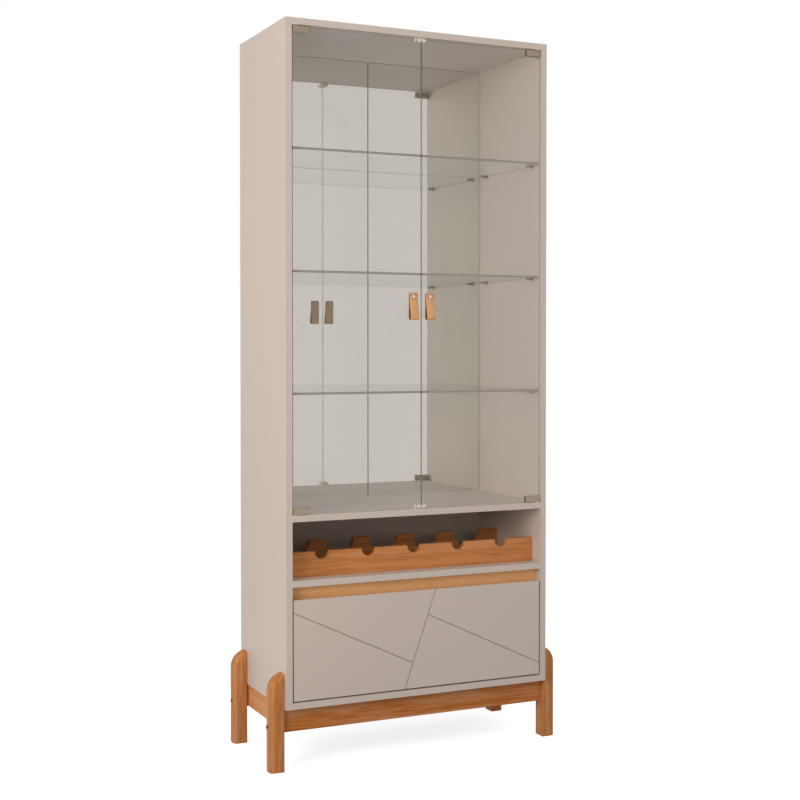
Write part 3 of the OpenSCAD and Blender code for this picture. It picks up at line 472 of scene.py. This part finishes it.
def tanned_leather(finishes, rivet):
    """Vegetable-tanned full-grain leather: a pebbled grain, a mottled tan and a waxed sheen.

    rivet is the middle of one rivet. Around each rivet a darker ring is painted: painted shade of a
    dimple that the mesh does not have.
    """
    material, tree = new_material("vegetable-tanned leather")
    place = add(tree, "ShaderNodeTexCoord").outputs["Object"]
    # Mottled patches of about 9 mm
    mottle = add(tree, "ShaderNodeTexNoise", {
        "Vector": place, "Scale": per_mm(9), "Detail": 5.0, "Roughness": 0.6,
    })
    tone = add(tree, "ShaderNodeMix", {
        "Factor": mottle.outputs["Fac"],
        "A": shaded(finishes.leather, 0.74),
        "B": shaded(finishes.leather, 1.22),
    }, data_type="RGBA")
    # The two doors' rivets lie the same way from the middle plane
    folded = add(tree, "ShaderNodeVectorMath", {0: place}, operation="ABSOLUTE")
    level = add(tree, "ShaderNodeVectorMath", {
        0: folded.outputs["Vector"], 1: (1, 0, 1),
    }, operation="MULTIPLY")
    reach = add(tree, "ShaderNodeVectorMath", {
        0: level.outputs["Vector"], 1: (abs(rivet.x), 0, rivet.z),
    }, operation="DISTANCE")
    # The painted shade is darkest under the rivet's head, up to 5.2 mm, and gone at 9 mm
    pressed = add(tree, "ShaderNodeMapRange", {
        "Value": reach.outputs["Value"], "From Min": 5.2 * MM, "From Max": 9.0 * MM,
        "To Min": 0.75, "To Max": 0.0,
    }, interpolation_type="SMOOTHSTEP")
    rivet_ring_shade = add(tree, "ShaderNodeMix", {
        "Factor": pressed.outputs["Result"],
        "A": tone.outputs["Result"],
        "B": rgba(finishes.leather_edge),
    }, data_type="RGBA")
    # Pebbles of 1.1 mm
    pebble = add(tree, "ShaderNodeTexVoronoi", {
        "Vector": place, "Scale": per_mm(1.1),
    }, feature="SMOOTH_F1")
    bump = add(tree, "ShaderNodeBump", {
        "Height": pebble.outputs["Distance"], "Strength": 0.4, "Distance": 0.15 * MM,
    }, invert=True)
    body = add(tree, "ShaderNodeBsdfPrincipled", {
        "Base Color": rivet_ring_shade.outputs["Result"], "Roughness": 0.5, "Normal": bump.outputs["Normal"],
    })
    add(tree, "ShaderNodeOutputMaterial", {"Surface": body.outputs["BSDF"]})
    return material


def leather_flesh(finishes):
    """The leather's flesh side, split and rough: dull, fibrous and dark, partly painted shade in
    the loop.
    """
    material, tree = new_material("split leather, flesh side")
    place = add(tree, "ShaderNodeTexCoord").outputs["Object"]
    # Nap of 1.2 mm
    nap = add(tree, "ShaderNodeTexNoise", {
        "Vector": place, "Scale": per_mm(1.2), "Detail": 6.0, "Roughness": 0.7,
    }).outputs["Fac"]
    tone = add(tree, "ShaderNodeMix", {
        "Factor": nap, "A": shaded(finishes.flesh, 0.75), "B": shaded(finishes.flesh, 1.25),
    }, data_type="RGBA")
    bump = add(tree, "ShaderNodeBump", {"Height": nap, "Strength": 0.5, "Distance": 0.2 * MM})
    body = add(tree, "ShaderNodeBsdfPrincipled", {
        "Base Color": tone.outputs["Result"], "Roughness": 0.9, "Normal": bump.outputs["Normal"],
        "Specular IOR Level": 0.2,
    })
    add(tree, "ShaderNodeOutputMaterial", {"Surface": body.outputs["BSDF"]})
    return material


def burnished_edge(finishes):
    """The cut edge of the leather, dyed and rubbed smooth: dark, with a faint change of tone."""
    material, tree = new_material("burnished leather edge")
    place = add(tree, "ShaderNodeTexCoord").outputs["Object"]
    layer = add(tree, "ShaderNodeTexNoise", {"Vector": place, "Scale": per_mm(1.5), "Detail": 4.0})
    tone = add(tree, "ShaderNodeMix", {
        "Factor": layer.outputs["Fac"],
        "A": shaded(finishes.leather_edge, 0.8),
        "B": shaded(finishes.leather_edge, 1.2),
    }, data_type="RGBA")
    body = add(tree, "ShaderNodeBsdfPrincipled", {
        "Base Color": tone.outputs["Result"], "Roughness": 0.42,
    })
    add(tree, "ShaderNodeOutputMaterial", {"Surface": body.outputs["BSDF"]})
    return material


def plated_metal(name, colour, rough_low, rough_high, streak_mm):
    """Plated steel: full metal, its roughness drawn out in fine streaks by brushing or rolling."""
    material, tree = new_material(name)
    place = add(tree, "ShaderNodeTexCoord").outputs["Object"]
    drawn = add(tree, "ShaderNodeMapping", {"Vector": place, "Scale": (0.05, 1.0, 1.0)})
    streak = add(tree, "ShaderNodeTexNoise", {
        "Vector": drawn.outputs["Vector"], "Scale": per_mm(streak_mm), "Detail": 3.0,
    }).outputs["Fac"]
    rough = add(tree, "ShaderNodeMapRange", {
        "Value": streak, "To Min": rough_low, "To Max": rough_high,
    })
    tone = add(tree, "ShaderNodeMix", {
        "Factor": streak, "A": shaded(colour, 0.92), "B": shaded(colour, 1.08),
    }, data_type="RGBA")
    body = add(tree, "ShaderNodeBsdfPrincipled", {
        "Base Color": tone.outputs["Result"], "Metallic": 1.0, "Roughness": rough.outputs["Result"],
    })
    add(tree, "ShaderNodeOutputMaterial", {"Surface": body.outputs["BSDF"]})
    return material


def moulded_plastic(finishes):
    """Injection-moulded acetal: off-white, slightly waxy, with the mould's fine texture."""
    material, tree = new_material("moulded acetal")
    place = add(tree, "ShaderNodeTexCoord").outputs["Object"]
    # Spark-eroded texture of 0.8 mm, coarser than real so that it shows
    spark = add(tree, "ShaderNodeTexNoise", {
        "Vector": place, "Scale": per_mm(0.8), "Detail": 2.0,
    }).outputs["Fac"]
    bump = add(tree, "ShaderNodeBump", {"Height": spark, "Strength": 0.08, "Distance": 0.05 * MM})
    tone = add(tree, "ShaderNodeMix", {
        "Factor": spark, "A": shaded(finishes.plastic, 0.96), "B": shaded(finishes.plastic, 1.02),
    }, data_type="RGBA")
    body = add(tree, "ShaderNodeBsdfPrincipled", {
        "Base Color": tone.outputs["Result"], "Roughness": 0.38, "Normal": bump.outputs["Normal"],
    })
    add(tree, "ShaderNodeOutputMaterial", {"Surface": body.outputs["BSDF"]})
    return material


# Dressing the CAD nodes and making new pieces


def dress(node, material, rounding=0.0, segments=2):
    """Gives a CAD node its material and a small true rounding on its sharp edges."""
    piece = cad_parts[node]
    for slot in piece.material_slots:
        slot.link = "OBJECT"
        slot.material = material
    if not rounding:
        return
    weld = piece.modifiers.new("weld", "WELD")
    weld.merge_threshold = WELD_DISTANCE
    bevel = piece.modifiers.new("rounding", "BEVEL")
    bevel.width = rounding
    bevel.segments = segments
    bevel.limit_method = "ANGLE"
    bevel.angle_limit = SHARP_ANGLE
    bevel.use_clamp_overlap = True
    even = piece.modifiers.new("even normals", "WEIGHTED_NORMAL")
    even.mode = "FACE_AREA"
    even.weight = FACE_WEIGHT


def new_piece(name, mesh_data, materials):
    """An object of its own from a bmesh, with its materials."""
    mesh = bpy.data.meshes.new(name)
    mesh_data.to_mesh(mesh)
    mesh_data.free()
    for material in materials:
        mesh.materials.append(material)
    piece = bpy.data.objects.new(name, mesh)
    bpy.context.scene.collection.objects.link(piece)
    return piece


def finished(material_name):
    """A material that an earlier operator has made."""
    material = bpy.data.materials.get(material_name)
    if material is None:
        raise RuntimeError(f"the material {material_name} has to be made first")
    return material


def strap_line(low, high, glass_out, thick):
    """The strap's middle line, from its top front round the fold to its top back.

    Each point is (distance out from the glass, height). low and high are the strap's lowest and
    highest points, glass_out how far it stands out from the glass.
    """
    leaf_gap = 0.2 * MM
    back_leaf = STRAP_AIR + thick / 2
    front_leaf = back_leaf + thick + leaf_gap
    fold_r = (glass_out - thick - STRAP_AIR) / 2
    fold_out = glass_out - thick / 2 - fold_r
    fold_z = low + fold_r + thick / 2
    # The rivet holds the two leaves together down to here
    tight_z = high - 17 * MM
    tight_steps, front_steps, fold_steps, back_steps, flat_steps = 8, 26, 16, 8, 16

    def smooth(t):
        return t * t * (3 - 2 * t)

    line = []
    for i in range(tight_steps):
        line.append((front_leaf, high - (high - tight_z) * i / tight_steps))
    for i in range(front_steps + 1):
        t = 1 - i / front_steps
        bulge = fold_out + fold_r
        out = bulge + (front_leaf - bulge) * smooth(t)
        line.append((out, fold_z + (tight_z - fold_z) * t))
    for i in range(1, fold_steps):
        a = math.pi * i / fold_steps
        line.append((fold_out + fold_r * math.cos(a), fold_z - fold_r * math.sin(a)))
    # The back leaf meets the glass a third of the way up, and lies along it from there
    back_z = fold_z + (tight_z - fold_z) / 3
    for i in range(back_steps + 1):
        t = i / back_steps
        bulge = fold_out - fold_r
        line.append((bulge + (back_leaf - bulge) * smooth(t), fold_z + (back_z - fold_z) * t))
    for i in range(1, flat_steps + 1):
        line.append((back_leaf, back_z + (high - back_z) * i / flat_steps))
    return line


def leather_strap(name, node, details, skins):
    """A folded leather strap: a swept section with rounded edges, its top corners cut round.

    skins are the materials of its grain side, its cut edges and its flesh side.
    """
    low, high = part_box(node)
    glass_y = high.y + STRAP_AIR
    line = strap_line(low.z, high.z, glass_y - low.y, details.strap_thick)
    middle_x = (low.x + high.x) / 2
    half = details.strap_width / 2
    thick = details.strap_thick / 2
    soft = details.strap_edge
    corner = details.strap_corner
    # The section, as (side, across, out of the surface), with three points on each rounded edge
    section = []
    for side, face, start in ((1, 1, 0), (-1, 1, 90), (-1, -1, 180), (1, -1, 270)):
        for k in range(3):
            a = math.radians(start + 45 * k)
            up = face * (thick - soft) + soft * math.sin(a)
            section.append((side, soft * math.cos(a), up))
    # The grain side lies between the first two rounded edges, the flesh side between the last two
    grain_side, cut_edge, flesh_side = 0, 1, 2
    skin_of_face = {2: grain_side, 8: flesh_side}
    lengths = [0.0]
    for p, q in zip(line, line[1:]):
        lengths.append(lengths[-1] + math.dist(p, q))
    data = bmesh.new()
    rings = []
    for i, (out, z) in enumerate(line):
        before, after = line[max(i - 1, 0)], line[min(i + 1, len(line) - 1)]
        run = Vector((after[0] - before[0], after[1] - before[1])).normalized()
        normal = Vector((-run.y, run.x))
        end = min(lengths[i], lengths[-1] - lengths[i])
        reach = half - soft
        if end < corner:
            reach -= corner - math.sqrt(max(corner**2 - (corner - end) ** 2, 0.0))
        ring = []
        for side, across, up in section:
            point = Vector((out, z)) + normal * up
            x = middle_x + side * reach + across
            ring.append(data.verts.new((x, glass_y - point.x, point.y)))
        rings.append(ring)
    count = len(section)
    for a, b in zip(rings, rings[1:]):
        for k in range(count):
            face = data.faces.new((a[k], a[(k + 1) % count], b[(k + 1) % count], b[k]))
            face.material_index = skin_of_face.get(k, cut_edge)
            face.smooth = True
    for ring in (rings[0], rings[-1]):
        data.faces.new(ring).material_index = cut_edge
    bmesh.ops.recalc_face_normals(data, faces=data.faces)
    return new_piece(name, data, skins)


def domes(name, places, radius, height, axis, material):
    """Small domed heads on one surface, as one piece. axis points out of the surface."""
    data = bmesh.new()
    turn = Vector((0, 0, 1)).rotation_difference(Vector(axis)).to_matrix().to_4x4()
    # The dome's rings, as shares of its radius and of its height
    levels = ((1.0, 0.0), (1.0, 0.35), (0.86, 0.68), (0.55, 0.9), (0.22, 1.0))
    sides = 16
    turns = [math.tau * k / sides for k in range(sides)]
    for place in places:
        stand = Matrix.Translation(place) @ turn
        rings = []
        for share, lift in levels:
            wide, up = radius * share, height * lift
            rings.append([
                data.verts.new(stand @ Vector((wide * math.cos(a), wide * math.sin(a), up)))
                for a in turns
            ])
        for a, b in zip(rings, rings[1:]):
            for k in range(sides):
                data.faces.new((a[k], a[(k + 1) % sides], b[(k + 1) % sides], b[k])).smooth = True
        data.faces.new(rings[-1])
        data.faces.new(list(reversed(rings[0])))
    return new_piece(name, data, [material])


class CABINET_OT_boards(bpy.types.Operator):
    """Lacquer the carcass boards and the drawer, and face the thin panels"""

    bl_idname = "cabinet.boards"
    bl_label = "Boards"

    def execute(self, context):
        finishes, details = chosen(context)
        lacquer = sprayed_lacquer("sprayed satin lacquer", finishes)
        for node in BOARDS:
            dress(node, lacquer, details.board_round)
        low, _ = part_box("drawer_front")
        grooved = sprayed_lacquer("sprayed satin lacquer, grooved front", finishes, low.y)
        dress("drawer_front", grooved, details.groove_round)
        hardboard = pressed_hardboard(finishes)
        for node in THIN_PANELS:
            dress(node, hardboard, details.panel_round)
        return {"FINISHED"}


class CABINET_OT_timber(bpy.types.Operator):
    """Oil the base, the bottle rack and the grip rail, each with its grain along its length"""

    bl_idname = "cabinet.timber"
    bl_label = "Timber"

    def execute(self, context):
        finishes, details = chosen(context)
        up, across, back = (1.0, 1.0, 0.05), (0.05, 1.0, 1.0), (1.0, 0.05, 1.0)
        for name, nodes, colour, squeeze, figure in (
            ("oiled hardwood, upright grain", GRAIN_UP, finishes.leg_timber, up, 1.0),
            ("oiled hardwood, grain across", GRAIN_ACROSS, finishes.timber, across, 1.0),
            ("oiled hardwood, rack", RACK, finishes.rack_timber, across, 0.6),
            ("pale oiled hardwood, grain to the back", GRAIN_BACK, finishes.pale_timber, back, 0.6),
            # Painted light: the grip rail is paler, to make up for the shade of its recess
            ("oiled hardwood painted paler, grain across", GRIP, finishes.grip_timber, across, 0.45),
        ):
            material = oiled_hardwood(name, colour, squeeze, figure)
            for node in nodes:
                dress(node, material, details.timber_round, 3)
        beech = oiled_hardwood("turned beech", finishes.pale_timber, (1.0, 1.0, 0.1), 0.6)
        dress("panel_dowels", beech)
        return {"FINISHED"}


class CABINET_OT_glazing(bpy.types.Operator):
    """Polish the door panes, the shelves and the mirrors"""

    bl_idname = "cabinet.glazing"
    bl_label = "Glazing"

    def execute(self, context):
        finishes, details = chosen(context)
        pane = float_glass("float glass, upright pane", finishes.glass_edge, 1, 0.1)
        for node in DOOR_PANES:
            dress(node, pane, details.glass_arris, 1)
        shelf = float_glass("float glass, shelf", finishes.shelf_edge, 2, 0.8)
        for node in SHELVES:
            dress(node, shelf, details.glass_arris, 1)
        low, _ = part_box("mirror_right")
        mirror = silvered_mirror(low.x)
        for node in MIRRORS:
            dress(node, mirror)
        return {"FINISHED"}


class CABINET_OT_fittings(bpy.types.Operator):
    """Plate the metal fittings and mould the plastic ones"""

    bl_idname = "cabinet.fittings"
    bl_label = "Fittings"

    def execute(self, context):
        finishes, details = chosen(context)
        nickel = plated_metal("satin nickel plate", finishes.nickel, 0.24, 0.40, 0.6)
        dress("shelf_supports", nickel, details.metal_round)
        for node in HINGE_CLIPS:
            dress(node, nickel, details.clip_round)
        bright = plated_metal("bright nickel plate", finishes.bright_nickel, 0.14, 0.28, 0.6)
        for node in BRIGHT_METAL:
            dress(node, bright)
        dress("leg_bolts", plated_metal("bronzed steel", finishes.bronze, 0.30, 0.45, 0.6))
        zinc = plated_metal("bright zinc plate", finishes.zinc, 0.28, 0.45, 1.0)
        for node in ZINC_METAL:
            dress(node, zinc)
        plastic = moulded_plastic(finishes)
        for node in PLASTIC:
            dress(node, plastic, details.metal_round)
        return {"FINISHED"}


class CABINET_OT_pulls(bpy.types.Operator):
    """Fold the two leather pulls, with rounded and burnished edges"""

    bl_idname = "cabinet.pulls"
    bl_label = "Leather pulls"

    def execute(self, context):
        finishes, details = chosen(context)
        low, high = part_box("pull_rivet_right")
        grain_side = tanned_leather(finishes, (low + high) / 2)
        skins = [grain_side, burnished_edge(finishes), leather_flesh(finishes)]
        for side in ("left", "right"):
            strap = leather_strap(f"leather_pull_{side}", f"pull_strap_{side}", details, skins)
            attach(strap, f"door_{side}")
            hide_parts(f"pull_strap_{side}")
        return {"FINISHED"}


class CABINET_OT_trim(bpy.types.Operator):
    """Nail the back panel into its rebate and onto the fixed boards"""

    bl_idname = "cabinet.trim"
    bl_label = "Back nails"

    def execute(self, context):
        _, details = chosen(context)
        low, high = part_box("back_panel")
        inset = details.nail_inset
        wide, tall = high.x - low.x - 2 * inset, high.z - low.z - 2 * inset
        rows = round(tall / details.nail_pitch)
        columns = round(wide / details.nail_pitch)
        places = []
        for i in range(rows + 1):
            z = low.z + inset + tall * i / rows
            places += [(low.x + inset, high.y, z), (high.x - inset, high.y, z)]
        board_zs = [sum(corner.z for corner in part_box(node)) / 2 for node in NAILED_BOARDS]
        for z in board_zs + [high.z - inset]:
            for i in range(1, columns):
                places.append((low.x + inset + wide * i / columns, high.y, z))
        zinc = finished("bright zinc plate")
        backwards = (0, 1, 0)
        nails = domes(
            "back_nails", places, details.nail_head / 2, details.nail_height, backwards, zinc
        )
        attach(nails, "cabinet")
        return {"FINISHED"}


# The stage


def by_mirror(tree, rays):
    """1 for a ray that comes from a mirror, metal or glass, and 0 for any other."""
    return add(tree, "ShaderNodeMath", {
        0: rays["Is Glossy Ray"], 1: rays["Is Transmission Ray"],
    }, operation="MAXIMUM").outputs["Value"]


def shown_by_mirror(tree, rays, room):
    """The colour of the surroundings to a ray that comes from a mirror, metal or glass.

    It is white straight through glass and the room's by way of a mirror or metal, and PASSED_ON for
    light on its way to a dull surface.
    """
    turned = add(tree, "ShaderNodeMath", {
        0: rays["Glossy Depth"], 1: ANY_BOUNCE,
    }, operation="GREATER_THAN")
    shown = add(tree, "ShaderNodeMix", {
        "Factor": turned.outputs["Value"], "A": rgba(WHITE), "B": room,
    }, data_type="RGBA")
    dull = add(tree, "ShaderNodeMath", {
        0: rays["Diffuse Depth"], 1: ANY_BOUNCE,
    }, operation="GREATER_THAN")
    return add(tree, "ShaderNodeMix", {
        "Factor": dull.outputs["Value"], "A": shown.outputs["Result"], "B": rgba(PASSED_ON),
    }, data_type="RGBA").outputs["Result"]


def floor_paint():
    """Matt studio paint that takes the cabinet's shadow near it, and is plain white farther off."""
    material, tree = new_material("pale studio floor")
    rays = add(tree, "ShaderNodeLightPath").outputs
    seen = add(tree, "ShaderNodeMath", {
        0: rays["Is Camera Ray"], 1: by_mirror(tree, rays),
    }, operation="MAXIMUM").outputs["Value"]
    place = add(tree, "ShaderNodeTexCoord").outputs["Object"]
    far = add(tree, "ShaderNodeVectorMath", {0: place}, operation="LENGTH").outputs["Value"]
    # Near the cabinet: lit paint, lifted a little where it is seen, and darker where it only sends
    # light back up
    bounce = add(tree, "ShaderNodeMapRange", {
        "Value": far, "From Min": BOUNCE_REACH[0], "From Max": BOUNCE_REACH[1],
        "To Min": FLOOR_BOUNCE[0], "To Max": FLOOR_BOUNCE[1],
    })
    pale = add(tree, "ShaderNodeMix", {
        "Factor": rays["Is Diffuse Ray"],
        "A": rgba([FLOOR_PAINT] * 3),
        "B": bounce.outputs["Result"],
    }, data_type="RGBA")
    paint = add(tree, "ShaderNodeBsdfDiffuse", {"Color": pale.outputs["Result"]})
    lift = add(tree, "ShaderNodeMath", {0: seen, 1: FLOOR_LIFT}, operation="MULTIPLY")
    glow = add(tree, "ShaderNodeEmission", {
        "Color": rgba(WHITE), "Strength": lift.outputs["Value"],
    })
    near = add(tree, "ShaderNodeAddShader", {0: paint.outputs["BSDF"], 1: glow.outputs["Emission"]})
    # Farther off: white to the camera and straight through glass, the room's colour in a mirror
    fade = add(tree, "ShaderNodeMapRange", {
        "Value": far, "From Min": FLOOR_FADE[0], "From Max": FLOOR_FADE[1],
    }, interpolation_type="SMOOTHSTEP")
    cover = add(tree, "ShaderNodeMath", {0: fade.outputs["Result"], 1: seen}, operation="MULTIPLY")
    plain = add(tree, "ShaderNodeEmission", {
        "Color": shown_by_mirror(tree, rays, rgba(linear(ROOM))), "Strength": 1.0,
    })
    whole = add(tree, "ShaderNodeMixShader", {
        0: cover.outputs["Value"], 1: near.outputs["Shader"], 2: plain.outputs["Emission"],
    })
    add(tree, "ShaderNodeOutputMaterial", {"Surface": whole.outputs["Shader"]})
    return material


def lay_floor():
    """The studio's floor."""
    data = bmesh.new()
    bmesh.ops.create_grid(data, x_segments=1, y_segments=1, size=FLOOR_HALF)
    floor = new_piece("studio_floor", data, [floor_paint()])


def surround(scene):
    """White behind the cabinet, even light on it, and the room that mirrors and metal show."""
    world = bpy.data.worlds.new("studio")
    scene.world = world
    world.use_nodes = True
    tree = world.node_tree
    tree.nodes.clear()
    rays = add(tree, "ShaderNodeLightPath").outputs
    ambient = add(tree, "ShaderNodeMix", {
        "Factor": rays["Is Camera Ray"], "A": rgba(AMBIENT), "B": rgba(WHITE),
    }, data_type="RGBA")
    # Darker side walls and ceiling, which metal shows round its highlight
    direction = add(tree, "ShaderNodeTexCoord").outputs["Generated"]
    parts = add(tree, "ShaderNodeSeparateXYZ", {"Vector": direction}).outputs
    sideways = add(tree, "ShaderNodeMath", {0: parts["X"]}, operation="ABSOLUTE").outputs["Value"]
    walls, ceiling = (
        add(tree, "ShaderNodeMapRange", {
            "Value": reach, "From Min": limits[0], "From Max": limits[1],
        }, interpolation_type="SMOOTHSTEP").outputs["Result"]
        for reach, limits in ((sideways, DIM_WALLS), (parts["Z"], DIM_CEILING))
    )
    dim = add(tree, "ShaderNodeMath", {0: walls, 1: ceiling}, operation="MAXIMUM")
    room = add(tree, "ShaderNodeMix", {
        "Factor": dim.outputs["Value"], "A": rgba(linear(ROOM)), "B": rgba(linear(ROOM_DIM)),
    }, data_type="RGBA")
    tone = add(tree, "ShaderNodeMix", {
        "Factor": by_mirror(tree, rays),
        "A": ambient.outputs["Result"],
        "B": shown_by_mirror(tree, rays, room.outputs["Result"]),
    }, data_type="RGBA")
    sky = add(tree, "ShaderNodeBackground", {"Color": tone.outputs["Result"], "Strength": 1.0})
    add(tree, "ShaderNodeOutputWorld", {"Surface": sky.outputs["Background"]})


def hang_lamps(scene):
    """Soft square lamps. Glass hides them all: it would show them as white patches."""
    for name, place, aim, size, colour, power, in_metal in LAMPS:
        light = bpy.data.lights.new(name, "AREA")
        light.shape = "SQUARE"
        light.size = size
        light.color = linear(colour)
        light.energy = power
        lamp = bpy.data.objects.new(name, light)
        scene.collection.objects.link(lamp)
        lamp.location = place
        lamp.rotation_euler = (Vector(aim) - Vector(place)).to_track_quat("-Z", "Y").to_euler()
        lamp.visible_glossy = in_metal
        lamp.visible_transmission = False


def set_camera(scene):
    """The camera, at the photograph's viewing angle."""
    lens = bpy.data.cameras.new("photograph view")
    lens.sensor_width = CAMERA_SENSOR
    lens.lens = CAMERA_LENS
    lens.shift_y = CAMERA_SHIFT
    lens.clip_end = CAMERA_SIGHT
    camera = bpy.data.objects.new("photograph view", lens)
    scene.collection.objects.link(camera)
    camera.location = CAMERA_PLACE
    camera.rotation_euler = CAMERA_TURN
    scene.camera = camera


class CABINET_OT_stage(bpy.types.Operator):
    """Set the pale floor, the studio light and the camera"""

    bl_idname = "cabinet.stage"
    bl_label = "Stage"

    def execute(self, context):
        lay_floor()
        surround(context.scene)
        hang_lamps(context.scene)
        set_camera(context.scene)
        context.scene.view_settings.view_transform = "Standard"
        return {"FINISHED"}


class CABINET_PT_dressing(bpy.types.Panel):
    """Lists the finishes, the details and the steps of the dressing"""

    bl_idname = "CABINET_PT_dressing"
    bl_label = "China cabinet"
    bl_space_type = "VIEW_3D"
    bl_region_type = "UI"
    bl_category = "China cabinet"

    def draw(self, context):
        for group in chosen(context):
            for name in group.__annotations__:
                self.layout.prop(group, name)
        for step in STEPS:
            self.layout.operator(step.bl_idname)


STEPS = (
    CABINET_OT_boards, CABINET_OT_timber, CABINET_OT_glazing, CABINET_OT_fittings,
    CABINET_OT_pulls, CABINET_OT_trim, CABINET_OT_stage,
)
CLASSES = (CabinetFinishes, CabinetDetails, *STEPS, CABINET_PT_dressing)


def register():
    for cls in CLASSES:
        bpy.utils.register_class(cls)
    bpy.types.Scene.cabinet_finishes = bpy.props.PointerProperty(type=CabinetFinishes)
    bpy.types.Scene.cabinet_details = bpy.props.PointerProperty(type=CabinetDetails)


def unregister():
    del bpy.types.Scene.cabinet_details
    del bpy.types.Scene.cabinet_finishes
    for cls in reversed(CLASSES):
        bpy.utils.unregister_class(cls)


def main():
    """Runs the steps in order."""
    register()
    bpy.ops.cabinet.boards()
    bpy.ops.cabinet.timber()
    bpy.ops.cabinet.glazing()
    bpy.ops.cabinet.fittings()
    bpy.ops.cabinet.pulls()
    bpy.ops.cabinet.trim()
    bpy.ops.cabinet.stage()
    bpy.context.view_layer.update()


if __name__ == "__main__":
    main()
